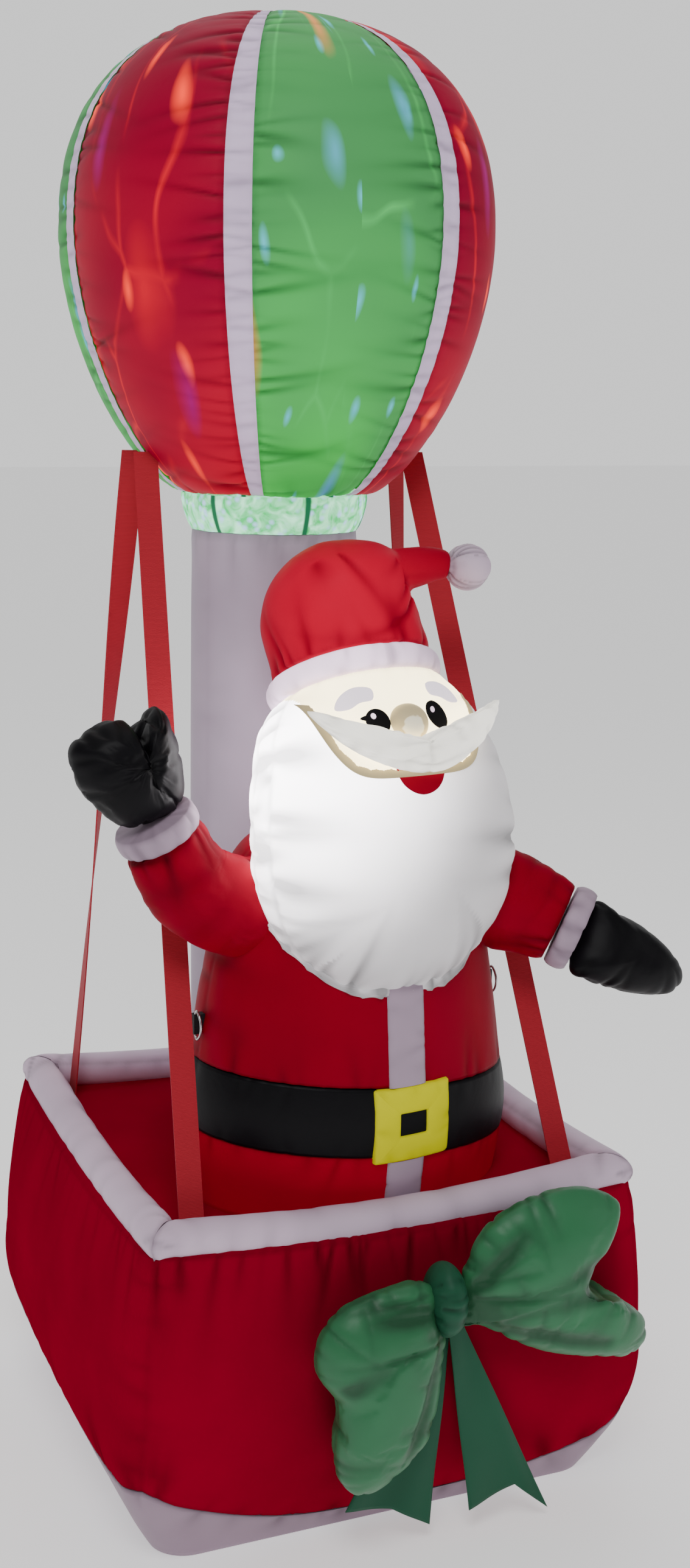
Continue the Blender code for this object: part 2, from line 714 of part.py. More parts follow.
def make_arms(red, white, black, jacket, beard):
    """Both sleeves, cuffs and mittens."""
    made = []
    raised = smooth_curve([(-0.100, 0.014, 0.425), (-0.188, 0.030, 0.432),
                           (-0.266, 0.036, 0.474), (-0.305, 0.036, 0.542)], 2)
    lowered = smooth_curve([(0.100, 0.038, 0.420), (0.185, 0.084, 0.416),
                            (0.230, 0.112, 0.402), (0.268, 0.142, 0.382)], 2)
    for name, path, thick, slim, flat in (("raised", raised, 0.074, 0.054, 0.76),
                                          ("lowered", lowered, 0.079, 0.058, 0.80)):
        radii = [thick + (slim - thick) * (k / (len(path) - 1)) ** 2.5
                 for k in range(len(path))]
        sleeve = sausage("sleeve_" + name, [figure_point(*p) for p in path], radii, red,
                         squash=flat)
        seat_on(sleeve, jacket, beard)
        tip, back = Vector(path[-1]), Vector(path[-2])
        along = (tip - back).normalized()
        steps = [tip + along * GAP, tip + along * CUFF_WIDTH / 2,
                 tip + along * CUFF_WIDTH]
        cuff = sausage("cuff_" + name, [figure_point(*p) for p in steps],
                       [slim + CUFF_PUFF * puff for puff in (0.25, 1.0, 0.25)], white)
        made += [sleeve, cuff]
    up_hand = smooth_curve([(-0.437, 0.668), (-0.404, 0.700), (-0.366, 0.707), (-0.342, 0.678),
                            (-0.328, 0.706), (-0.306, 0.720), (-0.284, 0.680), (-0.273, 0.622),
                            (-0.283, 0.584), (-0.329, 0.560), (-0.372, 0.562), (-0.420, 0.610)],
                           2, looped=True)
    mitten = pillow("mitten_raised", up_hand, 0.050,
                    lambda s, out, up: figure_point(s, out + 0.036, up), black)
    seat_on(mitten, made[1])
    wrist, tip = Vector((0.290, 0.160, 0.367)), Vector((0.442, 0.196, 0.281))
    along = (tip - wrist).normalized()
    front = Vector((0.30, 0.95, 0.20))
    across = front.cross(along).normalized()
    deep = along.cross(across).normalized()
    down_hand = smooth_curve([(-0.004, 0.050), (0.045, 0.058), (0.110, 0.048), (0.168, 0.024),
                              (0.186, -0.004), (0.168, -0.032), (0.110, -0.054),
                              (0.045, -0.058), (-0.004, -0.050)], 2, looped=True)
    other = pillow("mitten_lowered", down_hand, 0.046,
                   lambda x, out, y: figure_point(*(wrist + along * x + across * y + deep * out)),
                   black)
    seat_on(other, made[3])
    return made + [mitten, other]


def make_tether(side, jacket, steel, black):
    """A D-shaped tether ring held in its sewn tab, on one flank of the jacket."""
    name = "left" if side < 0 else "right"
    deep, tall = RING_SIZE
    ring_low = TETHER_UP - (tall + RING_WIRE) / FIGURE_SCALE
    reach = body_half(ring_low + BELT_SLOPE * BODY_RX)[0] + RING_STAND_OFF
    loop = [(0.0, tall * share) for share in (-0.5, 0.5)]
    loop += [(deep * cos(radians(a)), tall * sin(radians(a))) for a in range(75, -90, -25)]
    rings = []
    for k, (f, rise) in enumerate(loop):
        before, after = loop[k - 1], loop[(k + 1) % len(loop)]
        tangent = Vector((after[0] - before[0], after[1] - before[1])).normalized()
        out_f, out_up = -tangent.y, tangent.x
        section = []
        for bend in (2 * pi * m / 6 for m in range(6)):
            swell = RING_WIRE / 2 * cos(bend)
            section.append(figure_point(side * (reach + RING_WIRE / 2 * sin(bend)),
                                        f + out_f * swell,
                                        TETHER_UP + (rise + out_up * swell) / FIGURE_SCALE))
        rings.append(section)
    ring = loft("tether_ring_" + name, rings, steel, closed=True)
    low, high = reach - TAB_ROOT, reach + RING_WIRE
    corners = [(low, -0.7), (high, -0.7), (high, 0.3), (low, 0.3)]
    levels = [[figure_point(side * a, b * TAB_WIDTH, TETHER_UP + rise / FIGURE_SCALE)
               for a, b in corners]
              for rise in (-TAB_HEIGHT / 2, TAB_HEIGHT / 2)]
    tab = loft("tether_tab_" + name, levels, black, smooth=False)
    seat_on(tab, jacket, ring)


# Bow

def bow_point(x, out, z):
    """A point of the bow: x across, out from the basket, z up, from its knot."""
    return (BOW_X + x * BOW_SCALE, BOW_Y - out * BOW_SCALE, BOW_Z + z * BOW_SCALE)


def make_bow(green, basket, rim_tool, base):
    """Knot, two puffed loops and two flat tails."""
    knot = ball("bow_knot", (0.0, 0.0, 0.0), (0.028, BOW_KNOT_DEPTH, 0.052), green, bow_point,
                sides=12, rows=6)
    left = smooth_curve([(-0.005, 0.010), (-0.034, 0.036), (-0.070, 0.036), (-0.147, 0.018),
                         (-0.185, -0.026), (-0.187, -0.076), (-0.158, -0.126),
                         (-0.160, -0.200), (-0.150, -0.244), (-0.120, -0.268),
                         (-0.073, -0.252), (-0.017, -0.196), (0.002, -0.072)],
                        2, looped=True)
    right = smooth_curve([(0.018, 0.017), (0.048, 0.086), (0.092, 0.119), (0.150, 0.134),
                          (0.206, 0.133), (0.256, 0.110), (0.262, 0.080), (0.212, -0.014),
                          (0.280, -0.052), (0.312, -0.078), (0.316, -0.118), (0.275, -0.136),
                          (0.148, -0.106), (0.050, -0.050), (0.018, -0.045)],
                         2, looped=True)
    seat_on(knot, basket)
    loops = []
    for name, outline in (("bow_loop_left", left), ("bow_loop_right", right)):
        loop = pillow(name, outline, BOW_LOOP_DEPTH, bow_point, green)
        seat_on(loop, basket, knot)
        boolean(loop, rim_tool, "DIFFERENCE")
        loops.append(loop)
    tails = []
    left_tips = ((-0.128, -0.306), (-0.057, -0.319), (0.002, -0.357))
    right_tips = ((0.058, -0.342), (0.131, -0.320), (0.186, -0.369))
    for name, top, tips, back in (
            ("bow_tail_left", (0.008, 0.026), left_tips, -0.032),
            ("bow_tail_right", (0.016, 0.036), right_tips, -0.026)):
        outline = [(top[0], -0.045), (top[1], -0.045), tips[2], tips[1], tips[0]]
        rings = []
        for layer in (0, 1):
            out = back + layer * BOW_TAIL_THICK
            rings.append([bow_point(x, out, z) for x, z in outline])
        tail = loft(name, rings, green, smooth=False)
        tails.append(tail)
    for tail in tails:
        seat_on(tail, knot, basket, base, *loops)
    return knot, loops, tails


def build():
    """Makes every piece."""
    for old in list(bpy.data.objects):
        bpy.data.objects.remove(old, do_unlink=True)
    red = finish("red_nylon", RED)
    green = finish("green_nylon", GREEN)
    bow_green = finish("bow_nylon", BOW_GREEN)
    white = finish("white_nylon", WHITE)
    black = finish("black_nylon", BLACK)
    webbing = finish("red_webbing", DARK_RED, 0.7)
    steel = finish("steel", STEEL, 0.3, 1.0)

    base, basket, rim_tool = make_basket(red, white, white)
    make_column(white)
    make_collar(green)
    gores = [make_gore(index, green if index % 2 == 0 else red) for index in range(GORES)]
    tapes = [make_tape(index, white) for index in range(GORES)]
    # Each strap is sewn on beside the tape at its side, over one gore
    for name, side, end, turns, gore, tape in (
            ("strap_front_left", -1, -1, STRAP_TURNS[0], gores[-1], tapes[-2]),
            ("strap_front_right", 1, -1, STRAP_TURNS[1], gores[1], tapes[1]),
            ("strap_back_left", -1, 1, STRAP_TURNS[2], gores[-2], tapes[-2]),
            ("strap_back_right", 1, 1, STRAP_TURNS[3], gores[2], tapes[1])):
        make_strap(name, side, end, turns, webbing, (gore, tape))

    skirt, belt, jacket = make_body(red, black)
    head = make_head(finish("face_cream", CREAM))
    seat_on(head, jacket)
    make_brim(white)
    hat = make_hat(red)
    beard = make_beard(finish("beard_white", WARM_WHITE))
    seat_on(beard, head, jacket)
    moustache = make_moustache(finish("moustache_grey", GREY))
    seat_on(moustache, head, beard)
    nose = ball("nose", (0.0, 0.150, 0.692), (0.029, 0.025, 0.028),
                finish("nose_tan", CREAM), figure_point, sides=12, rows=6)
    seat_on(nose, head, beard, moustache)
    pompom = ball("hat_pompom", (0.171, 0.018, 0.884), (POMPOM_R,) * 3, white, figure_point)
    seat_on(pompom, hat)
    middle = BELT_UP + BELT_WIDTH / 2
    buckle_low = middle - BUCKLE_HEIGHT / 2
    buckle_high = middle + BUCKLE_HEIGHT / 2
    buckle = front_strip("buckle", BUCKLE_WIDTH, buckle_low, buckle_high, BUCKLE_THICK,
                         finish("buckle_yellow", YELLOW), rows=2, middle=BUCKLE_S)
    hole = front_strip("buckle_window", BUCKLE_HOLE[0], middle - BUCKLE_HOLE[1] / 2,
                       middle + BUCKLE_HOLE[1] / 2, 3 * BUCKLE_THICK, None, rows=1,
                       middle=BUCKLE_S)
    boolean(buckle, hide_tool(hole), "DIFFERENCE")
    seat_on(buckle, skirt, belt, jacket)
    lower = front_strip("placket_lower", PLACKET_WIDTH, 0.0, buckle_low - GAP,
                        PLACKET_THICK, white)
    seat_on(lower, skirt)
    upper = front_strip("placket_upper", PLACKET_WIDTH, buckle_high + GAP, BEARD_UP,
                        PLACKET_THICK, white, rows=4)
    seat_on(upper, belt, jacket, beard)
    make_arms(red, white, black, jacket, beard)
    for side in (-1, 1):
        make_tether(side, jacket, steel, black)
    make_bow(bow_green, basket, rim_tool, base)


build()
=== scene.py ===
# %% [markdown]
# # A lit inflatable figure in a balloon basket
# The real object is a yard inflatable: nylon panels sewn into chambers and blown up by a fan. Lamps
# inside make some of them glow.
# The part's solids hold its sizes. Each panel is drawn again here as a finer skin, because sewn
# nylon gathers along every seam.

# %% Load the part as a fixed frame
import json
from math import cos, pi, radians, sin

import bmesh
import bpy
import numpy as np
from mathutils import Matrix, Vector
from mathutils.bvhtree import BVHTree

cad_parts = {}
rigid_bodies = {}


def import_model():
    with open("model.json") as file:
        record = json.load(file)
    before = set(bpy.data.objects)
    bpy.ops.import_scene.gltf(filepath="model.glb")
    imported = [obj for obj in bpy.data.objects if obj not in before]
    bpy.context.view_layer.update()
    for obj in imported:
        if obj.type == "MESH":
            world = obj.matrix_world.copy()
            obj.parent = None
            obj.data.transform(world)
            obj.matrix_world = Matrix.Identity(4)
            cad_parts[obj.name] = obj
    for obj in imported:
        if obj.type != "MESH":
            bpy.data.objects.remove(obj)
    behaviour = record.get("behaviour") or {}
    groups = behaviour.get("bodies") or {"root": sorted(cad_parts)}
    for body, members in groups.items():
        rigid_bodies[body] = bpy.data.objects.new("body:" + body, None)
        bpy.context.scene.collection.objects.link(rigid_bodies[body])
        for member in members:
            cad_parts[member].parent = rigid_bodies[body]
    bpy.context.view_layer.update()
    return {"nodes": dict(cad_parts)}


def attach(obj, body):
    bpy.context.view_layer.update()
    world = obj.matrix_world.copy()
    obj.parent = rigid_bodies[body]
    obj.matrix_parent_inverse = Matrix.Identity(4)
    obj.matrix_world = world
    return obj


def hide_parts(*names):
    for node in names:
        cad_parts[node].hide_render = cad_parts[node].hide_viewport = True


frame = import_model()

print("frame:", len(frame["nodes"]), "nodes")

# %% [markdown]
# ## Sizes
# These are the part's own sizes, in metres, so that each skin lies where its solid lies.

# %% Sizes
SEWN_GAP = 0.0003
BASE_HALF, BULGE_HALF, BULGE_Z = 0.319, 0.395, 0.240
SIDE_SWELL, SIDE_BELLY = 0.06, 0.016
BASE_CORNER, BULGE_CORNER, TOP_CORNER = 0.16, 0.22, 0.12
SEAM_MID_Z, SEAM_SIDE_Z, SEAM_CORNER_Z, SEAM_BLEND = 0.031, 0.090, 0.130, 0.30
SEAM_LEAN, SEAM_POWER, SEAM_BEND = 0.020, 3.2, 1.2
RIM_HALF, RIM_TUBE, RIM_CORNER_Z, RIM_SAG, RIM_LAP = 0.336, 0.055, 0.483, 0.020, 0.010
DECK_Z = RIM_CORNER_Z - RIM_SAG - 0.013
COLUMN_Y, COLUMN_R, COLUMN_TOP_Z = 0.173, 0.127, DECK_Z + 0.917
COLLAR_TOP_Z, COLLAR_TOP_R = COLUMN_TOP_Z + 0.055, 0.142
BALLOON_Z, BALLOON_R, BALLOON_H, BALLOON_WIDEST = COLLAR_TOP_Z + SEWN_GAP, 0.318, 0.678, 0.370
GORES, CROWN_POWER, LOBE_DEPTH, TAPE_HALF_ANGLE = 6, 2.35, 0.009, radians(3.5)
STRAP_WIDTH, STRAP_THICK, STRAP_TOP_UP, STRAP_SPREAD = 0.035, 0.002, 0.061, 0.030
FIGURE_X, FIGURE_Y, FIGURE_TURN = 0.005, -0.136, radians(6.0)
BODY_RX, BODY_RY, BODY_H = 0.247, 0.178, 0.545
BELT_UP, BELT_TOP, BELT_SLOPE = 0.087, 0.187, -0.10
HEAD_F, HEAD_UP, HEAD_TILT = 0.030, 0.670, radians(28.0)
BRIM_LOW, BRIM_WIDTH, BRIM_R = 0.046, 0.036, 0.122
BOW_X, BOW_Y, BOW_Z = 0.025, -0.441, 0.385

# %% [markdown]
# ## Skins
# A skin is drawn as rows of points, as a sail maker draws a panel: each row runs along the panel,
# and the rows are joined with small four-sided faces.

# %% Skins from rows of points
def smooth_curve(points, steps, looped=False):
    """A smooth curve through a few chosen points."""
    points = np.array(points, float)
    count = len(points)
    out = []
    for span in range(count if looped else count - 1):
        picks = [span + k for k in (-1, 0, 1, 2)]
        picks = [k % count if looped else min(max(k, 0), count - 1) for k in picks]
        a, b, c, d = points[picks]
        for t in np.arange(steps) / steps:
            out.append(0.5 * (2 * b + (c - a) * t + (2 * a - 5 * b + 4 * c - d) * t * t
                              + (3 * b - a - 3 * c + d) * t ** 3))
    if not looped:
        out.append(points[-1])
    return np.array(out)


def full_turn(count):
    """Even steps round a full turn."""
    return np.linspace(0, 2 * pi, count, endpoint=False)


def capped(rows):
    """Rows closed at both ends."""
    return [rows[0].mean(0)] + rows + [rows[-1].mean(0)]


def skin(rows, looped=True):
    """Joins rows of points. A row of one point is a tip."""
    rows = [np.atleast_2d(row) for row in rows]
    starts = np.cumsum([0] + [len(row) for row in rows])
    faces = []
    for k in range(len(rows) - 1):
        low, high = int(starts[k]), int(starts[k + 1])
        n, m = len(rows[k]), len(rows[k + 1])
        count = max(n, m)
        for i in range(count if looped else count - 1):
            j = (i + 1) % count
            if n == 1:
                faces.append((low, high + j, high + i))
            elif m == 1:
                faces.append((low + i, low + j, high))
            else:
                faces.append((low + i, low + j, high + j, high + i))
    return np.concatenate(rows), faces


def new_mesh(name, points, faces):
    """A smooth mesh whose faces look outwards."""
    mesh = bpy.data.meshes.new(name)
    mesh.from_pydata([tuple(p) for p in points], [], faces)
    work = bmesh.new()
    work.from_mesh(mesh)
    bmesh.ops.recalc_face_normals(work, faces=work.faces[:])
    middle = Vector(np.mean(points, axis=0))
    outward = sum(f.normal.dot(f.calc_center_median() - middle) * f.calc_area() for f in work.faces)
    if outward < 0:
        bmesh.ops.reverse_faces(work, faces=work.faces[:])
    work.to_mesh(mesh)
    work.free()
    mesh.shade_smooth()
    return mesh


def points_of(mesh):
    """The points and normals of a mesh as arrays."""
    points = np.empty(len(mesh.vertices) * 3)
    normals = np.empty(len(mesh.vertices) * 3)
    mesh.vertices.foreach_get("co", points)
    mesh.vertices.foreach_get("normal", normals)
    return points.reshape(-1, 3), normals.reshape(-1, 3)


def moved(mesh, points):
    """Puts a mesh's points at new places."""
    mesh.vertices.foreach_set("co", np.ascontiguousarray(points, float).ravel())
    mesh.update()


def show(name, mesh, material, nodes=()):
    """Adds a finished piece to the object."""
    mesh.materials.clear()
    mesh.materials.append(material)
    piece = bpy.data.objects.new(name, mesh)
    bpy.context.scene.collection.objects.link(piece)
    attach(piece, "root")
    if nodes:
        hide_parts(*nodes)
    print(name, len(mesh.polygons), "faces")
    return piece

# %% [markdown]
# ## Gathers
# A panel is sewn to a seam that is shorter than its own edge, so the spare cloth stands in small
# folds across the seam and dies away from it.
# Each fold here has its own place, depth, reach and lean, drawn from a seeded generator, because
# even spacing looks moulded.

# %% Gathers along a seam
GATHER_GAIN, REACH_GAIN = 1.7, 1.25


def gathered(mesh, seam, pitch, depth, reach, seed, looped=False, groove=0.0015, weight=1.0,
             wide_groove=0.005):
    """Folds a mesh across a seam line."""
    depth, reach = depth * GATHER_GAIN, reach * REACH_GAIN
    points, normals = points_of(mesh)
    seam = np.array(seam, float)
    if looped:
        seam = np.vstack([seam, seam[:1]])
    runs = np.concatenate([[0], np.cumsum(np.linalg.norm(np.diff(seam, axis=0), axis=1))])
    marks = np.linspace(0, runs[-1], max(int(runs[-1] / 0.006), 8))
    line = np.stack([np.interp(marks, runs, seam[:, k]) for k in range(3)], 1)
    tangent = np.gradient(line, axis=0)
    tangent /= np.linalg.norm(tangent, axis=1)[:, None]
    near = np.empty(len(points), int)
    for start in range(0, len(points), 2000):
        block = points[start:start + 2000]
        near[start:start + 2000] = ((block[:, None] - line) ** 2).sum(2).argmin(1)
    offset = points - line[near]
    along = marks[near] + (offset * tangent[near]).sum(1)
    away = np.linalg.norm(offset, axis=1)
    side = np.sign((np.cross(tangent[near], normals) * offset).sum(1))
    dice = np.random.default_rng(seed)
    total = -groove * np.exp(-(away / wide_groove) ** 2)
    at_seam = 1 - 0.6 * np.exp(-(away / 0.006) ** 2)
    at = pitch * dice.uniform(0.0, 1.0)
    while at < runs[-1]:
        deep, far = depth * dice.uniform(0.2, 1.0), reach * dice.uniform(0.35, 1.3)
        wide, lean = pitch * dice.uniform(0.16, 0.34), dice.uniform(-0.25, 0.25)
        only = dice.choice((-1, 0, 1))
        shift = along - at - lean * away
        if looped:
            shift = (shift + runs[-1] / 2) % runs[-1] - runs[-1] / 2
        shift /= wide * (0.7 + away / far)
        fade = at_seam * np.exp(-(away / far) ** 1.4) * np.where(side * only < 0, 0.15, 1.0)
        total -= deep * fade * (np.exp(-np.sqrt(shift ** 2 + 0.06)) - 0.30 * np.exp(-(shift / 2.6) ** 2))
        at += pitch * dice.uniform(0.5, 1.5)
    total = total * weight
    # The depth of each fold is kept as the fold attribute; the materials read it to paint shade into the
    # creases and a painted highlight onto the ridges.
    fold = mesh.attributes.get("fold") or mesh.attributes.new("fold", "FLOAT", "POINT")
    before = np.empty(len(points))
    fold.data.foreach_get("value", before)
    fold.data.foreach_set("value", before - total / 0.004)
    moved(mesh, points + normals * total[:, None])
    return mesh

# %% [markdown]
# ## Blowing up
# The limbs, the bow and the hat are closed bags. A cloth simulation with air pressure inside gives
# them the tight, slightly uneven skin of the real thing.
# The hat and the bow's loops are remeshed evenly first, and no point may move further than a cap, so the
# bag keeps its size.

# %% Cloth blown up by pressure
def with_modifiers(mesh, *kinds):
    """A copy of a mesh with some modifiers applied."""
    holder = bpy.data.objects.new("holder", mesh)
    bpy.context.scene.collection.objects.link(holder)
    for kind, values in kinds:
        modifier = holder.modifiers.new(kind, kind)
        for name, value in values.items():
            setattr(modifier, name, value)
    bpy.context.view_layer.update()
    seen = holder.evaluated_get(bpy.context.evaluated_depsgraph_get())
    out = bpy.data.meshes.new_from_object(seen)
    bpy.data.objects.remove(holder, do_unlink=True)
    return out


def evened(mesh, voxel=0.005, passes=8):
    """The same bag with one even mesh, its joins rounded."""
    return with_modifiers(mesh,
                          ("REMESH", {"mode": "VOXEL", "voxel_size": voxel,
                                      "use_smooth_shade": True}),
                          ("SMOOTH", {"factor": 0.5, "iterations": passes}))


def blown_up(mesh, pressure=4.0, cap=0.005, spare=0.04, held=None):
    """A bag after a short cloth simulation with air inside."""
    before, _ = points_of(mesh)
    bag = bpy.data.objects.new("bag", mesh)
    bpy.context.scene.collection.objects.link(bag)
    cloth = bag.modifiers.new("Cloth", "CLOTH")
    settings = cloth.settings
    settings.use_pressure = True
    settings.uniform_pressure_force = pressure
    settings.effector_weights.gravity = 0.0
    settings.quality = 4
    settings.mass = 0.1
    settings.tension_stiffness = 20.0
    settings.compression_stiffness = 20.0
    settings.bending_stiffness = 0.05
    settings.shrink_min = -spare
    if held is not None:
        group = bag.vertex_groups.new(name="held")
        group.add([int(k) for k in np.flatnonzero(held)], 1.0, "REPLACE")
        settings.vertex_group_mass = "held"
    scene = bpy.context.scene
    for step in range(1, 17):
        scene.frame_set(step)
    seen = bag.evaluated_get(bpy.context.evaluated_depsgraph_get())
    after = bpy.data.meshes.new_from_object(seen)
    points, _ = points_of(after)
    bpy.data.objects.remove(bag, do_unlink=True)
    scene.frame_set(1)
    step = points - before
    size = np.linalg.norm(step, axis=1)
    scale = np.minimum(1.0, cap / np.maximum(size, 1e-9))
    moved(after, before + step * scale[:, None])
    after.shade_smooth()
    return after

# %% [markdown]
# ## Nylon
# Rip-proof nylon has a very fine weave, a soft sheen, small crinkles and a slightly uneven dye.
# Lamps inside make a panel glow in its own colour.

# %% Nodes for the materials
def add(tree, kind, inputs=None, **settings):
    """One shader node with its values and links."""
    made = tree.nodes.new("ShaderNode" + kind)
    for name, value in settings.items():
        setattr(made, name, value)
    for name, value in (inputs or {}).items():
        if isinstance(value, bpy.types.NodeSocket):
            tree.links.new(value, made.inputs[name])
        else:
            made.inputs[name].default_value = value
    return made


def mixed(tree, share, first, second, blend="MIX"):
    """Mixes two colours by a share."""
    made = add(tree, "MixRGB", {"Color1": first, "Color2": second}, blend_type=blend)
    if isinstance(share, bpy.types.NodeSocket):
        tree.links.new(share, made.inputs["Fac"])
    else:
        made.inputs["Fac"].default_value = share
    return made.outputs["Color"]


def ramp(tree, value, *stops):
    """Turns a value into a grey level through chosen stops."""
    made = add(tree, "ValToRGB", {"Fac": value})
    bar = made.color_ramp.elements
    while len(bar) < len(stops):
        bar.new(0.5)
    for element, (place, level) in zip(bar, stops):
        element.position = place
        element.color = (level, level, level, 1.0)
    return made.outputs["Color"]

# %% [markdown]
# Shade is painted into each crease, and a painted highlight onto the ridges between them. The gathers
# wrote how deep each point of the mesh lies, and the material reads that value, so the painted shade falls
# where the folds really are.

# %% Painted shade in the creases
def shaded(tree, colour):
    """Paints shade into the creases and a painted highlight onto the ridges between them."""
    fold = add(tree, "Attribute", attribute_name="fold").outputs["Fac"]
    level = add(tree, "MapRange", {"Value": fold, "From Min": -1.0, "From Max": 1.0}).outputs[0]
    shade = ramp(tree, level, (0.25, 1.0), (0.50, 0.94), (0.70, 0.66), (1.0, 0.42))
    return mixed(tree, 1.0, colour, shade, "MULTIPLY")


def begin(name, roughness=0.5, gloss=0.14, sheen=0.0, metallic=0.0):
    """A material with its shader and object coordinates."""
    material = bpy.data.materials.new(name)
    material.use_nodes = True
    tree = material.node_tree
    shader = tree.nodes["Principled BSDF"]
    shader.inputs["Roughness"].default_value = roughness
    shader.inputs["Metallic"].default_value = metallic
    shader.inputs["Sheen Weight"].default_value = sheen
    shader.inputs["Specular IOR Level"].default_value = gloss
    place = add(tree, "TexCoord").outputs["Object"]
    return material, tree, shader, place


def crinkled(tree, shader, place, size=26.0, height=0.0012, weave=1400.0):
    """Small crinkles and the weave as bump."""
    folds = add(tree, "TexNoise", {"Vector": place, "Scale": size, "Detail": 5.0,
                                   "Roughness": 0.55, "Distortion": 0.8}).outputs[0]
    threads = add(tree, "TexNoise", {"Vector": place, "Scale": weave, "Detail": 1.0}).outputs[0]
    fine = add(tree, "Bump", {"Height": threads, "Strength": 0.12, "Distance": 0.0004})
    bump = add(tree, "Bump", {"Height": folds, "Strength": 0.5, "Distance": height,
                              "Normal": fine.outputs[0]})
    tree.links.new(bump.outputs[0], shader.inputs["Normal"])

# %% [markdown]
# Most panels are one dye. A lamp behind a panel is a glow that fades with the distance from it.

# %% Plain nylon
def nylon(name, colour, glow=0.0, lamp=None, spread=0.3, roughness=0.5, crinkle=0.0012, gloss=0.14,
          far_glow=0.0):
    """Dyed nylon with painted shade in its creases, lit from inside where a lamp is given."""
    material, tree, shader, place = begin(name, roughness, gloss)
    cloud = add(tree, "TexNoise", {"Vector": place, "Scale": 5.0, "Detail": 3.0}).outputs[0]
    shade = ramp(tree, cloud, (0.3, 0.86), (0.7, 1.06))
    # The dye with its uneven tone, and shade painted into the creases from the fold attribute.
    surface_colour = shaded(tree, mixed(tree, 1.0, (*colour, 1.0), shade, "MULTIPLY"))
    tree.links.new(surface_colour, shader.inputs["Base Color"])
    if glow:
        tree.links.new(surface_colour, shader.inputs["Emission Color"])
        if lamp is None:
            shader.inputs["Emission Strength"].default_value = glow
        else:
            far = add(tree, "VectorMath", {0: place, 1: lamp}, operation="DISTANCE")
            level = add(tree, "MapRange", {"Value": far.outputs["Value"], "From Min": 0.0,
                                           "From Max": spread, "To Min": glow,
                                           "To Max": far_glow},
                        interpolation_type="SMOOTHERSTEP")
            tree.links.new(level.outputs[0], shader.inputs["Emission Strength"])
    crinkled(tree, shader, place, height=crinkle)
    return material

# %% [markdown]
# The balloon holds a turning lamp that throws coloured spots. The pattern is laid out by the angle
# round the balloon and the height, so the spots stretch upwards as thrown light does.

# %% Nylon before the party lamp
def turn_of(tree, place):
    """The angle round the column, in radians."""
    part = add(tree, "SeparateXYZ", {"Vector": place}).outputs
    back = add(tree, "Math", {0: part["Y"], 1: COLUMN_Y}, operation="SUBTRACT").outputs[0]
    return add(tree, "Math", {0: part["X"], 1: back}, operation="ARCTAN2").outputs[0]


def lit_nylon(name, colour, pool, web, sparks, seed):
    """Nylon in front of a turning party lamp: soft pools of light, a web of rays and sparks, with shade
    painted into the creases.
    """
    material, tree, shader, place = begin(name, 0.55, 0.10)
    # Shade is painted into the creases of the base colour.
    tree.links.new(shaded(tree, (*colour, 1.0)), shader.inputs["Base Color"])
    rise = add(tree, "SeparateXYZ", {"Vector": place}).outputs["Z"]
    flat = add(tree, "CombineXYZ", {"X": turn_of(tree, place), "Y": rise}).outputs[0]
    long = add(tree, "Mapping", {"Vector": flat, "Location": (seed, 0.0, 0.0),
                                 "Scale": (0.30, 0.45, 1.0)}).outputs[0]
    bent = add(tree, "TexNoise", {"Vector": long, "Scale": 6.0}).outputs["Color"]
    warped = add(tree, "VectorMath", {0: bent, 1: (0.10, 0.10, 0.10)}, operation="MULTIPLY")
    there = add(tree, "VectorMath", {0: long, 1: warped.outputs[0]}, operation="ADD").outputs[0]
    cloud = add(tree, "TexNoise", {"Vector": place, "Scale": 4.0, "Detail": 1.0}).outputs[0]
    lower = add(tree, "MapRange", {"Value": rise, "From Min": BALLOON_Z + 0.10,
                                   "From Max": BALLOON_Z + 0.50, "To Min": 1.0, "To Max": 0.12}).outputs[0]
    spread = mixed(tree, 1.0, ramp(tree, cloud, (0.36, 0.15), (0.66, 1.0)), lower, "MULTIPLY")
    light = mixed(tree, spread, (0.0, 0.0, 0.0, 1.0), (*pool, 1.0))
    rays = add(tree, "TexVoronoi", {"Vector": there, "Scale": 9.0},
               voronoi_dimensions="2D", feature="DISTANCE_TO_EDGE").outputs["Distance"]
    patchy = add(tree, "TexNoise", {"Vector": long, "Scale": 9.0}).outputs[0]
    ray = mixed(tree, 1.0, ramp(tree, rays, (0.0, 0.9), (0.045, 0.0)),
                ramp(tree, patchy, (0.44, 0.0), (0.70, 1.0)), "MULTIPLY")
    light = mixed(tree, ray, light, (*web, 1.0))
    for scale, colour_of, size, share, stretch in sparks:
        shifted = add(tree, "Mapping", {"Vector": there, "Location": (scale, seed, 0.0),
                                        "Rotation": (0.0, 0.0, 0.12),
                                        "Scale": (1.0, stretch, 1.0)}).outputs[0]
        cells = add(tree, "TexVoronoi", {"Vector": shifted, "Scale": scale},
                    voronoi_dimensions="2D")
        mask = ramp(tree, cells.outputs["Distance"], (size * 0.1, 1.0), (size, 0.0))
        pick = add(tree, "SeparateColor", {"Color": cells.outputs["Color"]}).outputs[0]
        some = ramp(tree, pick, (1 - share, 0.0), (1.05 - share, 1.0))
        light = mixed(tree, mixed(tree, 1.0, mask, some, "MULTIPLY"), light, (*colour_of, 1.0))
    # Shade is painted into the creases of the lamp's light as well.
    tree.links.new(shaded(tree, light), shader.inputs["Emission Color"])
    shader.inputs["Emission Strength"].default_value = 1.9
    crinkled(tree, shader, place)
    return material

# %% [markdown]
# Strap webbing is woven thick, so its ribs show where nylon looks smooth.

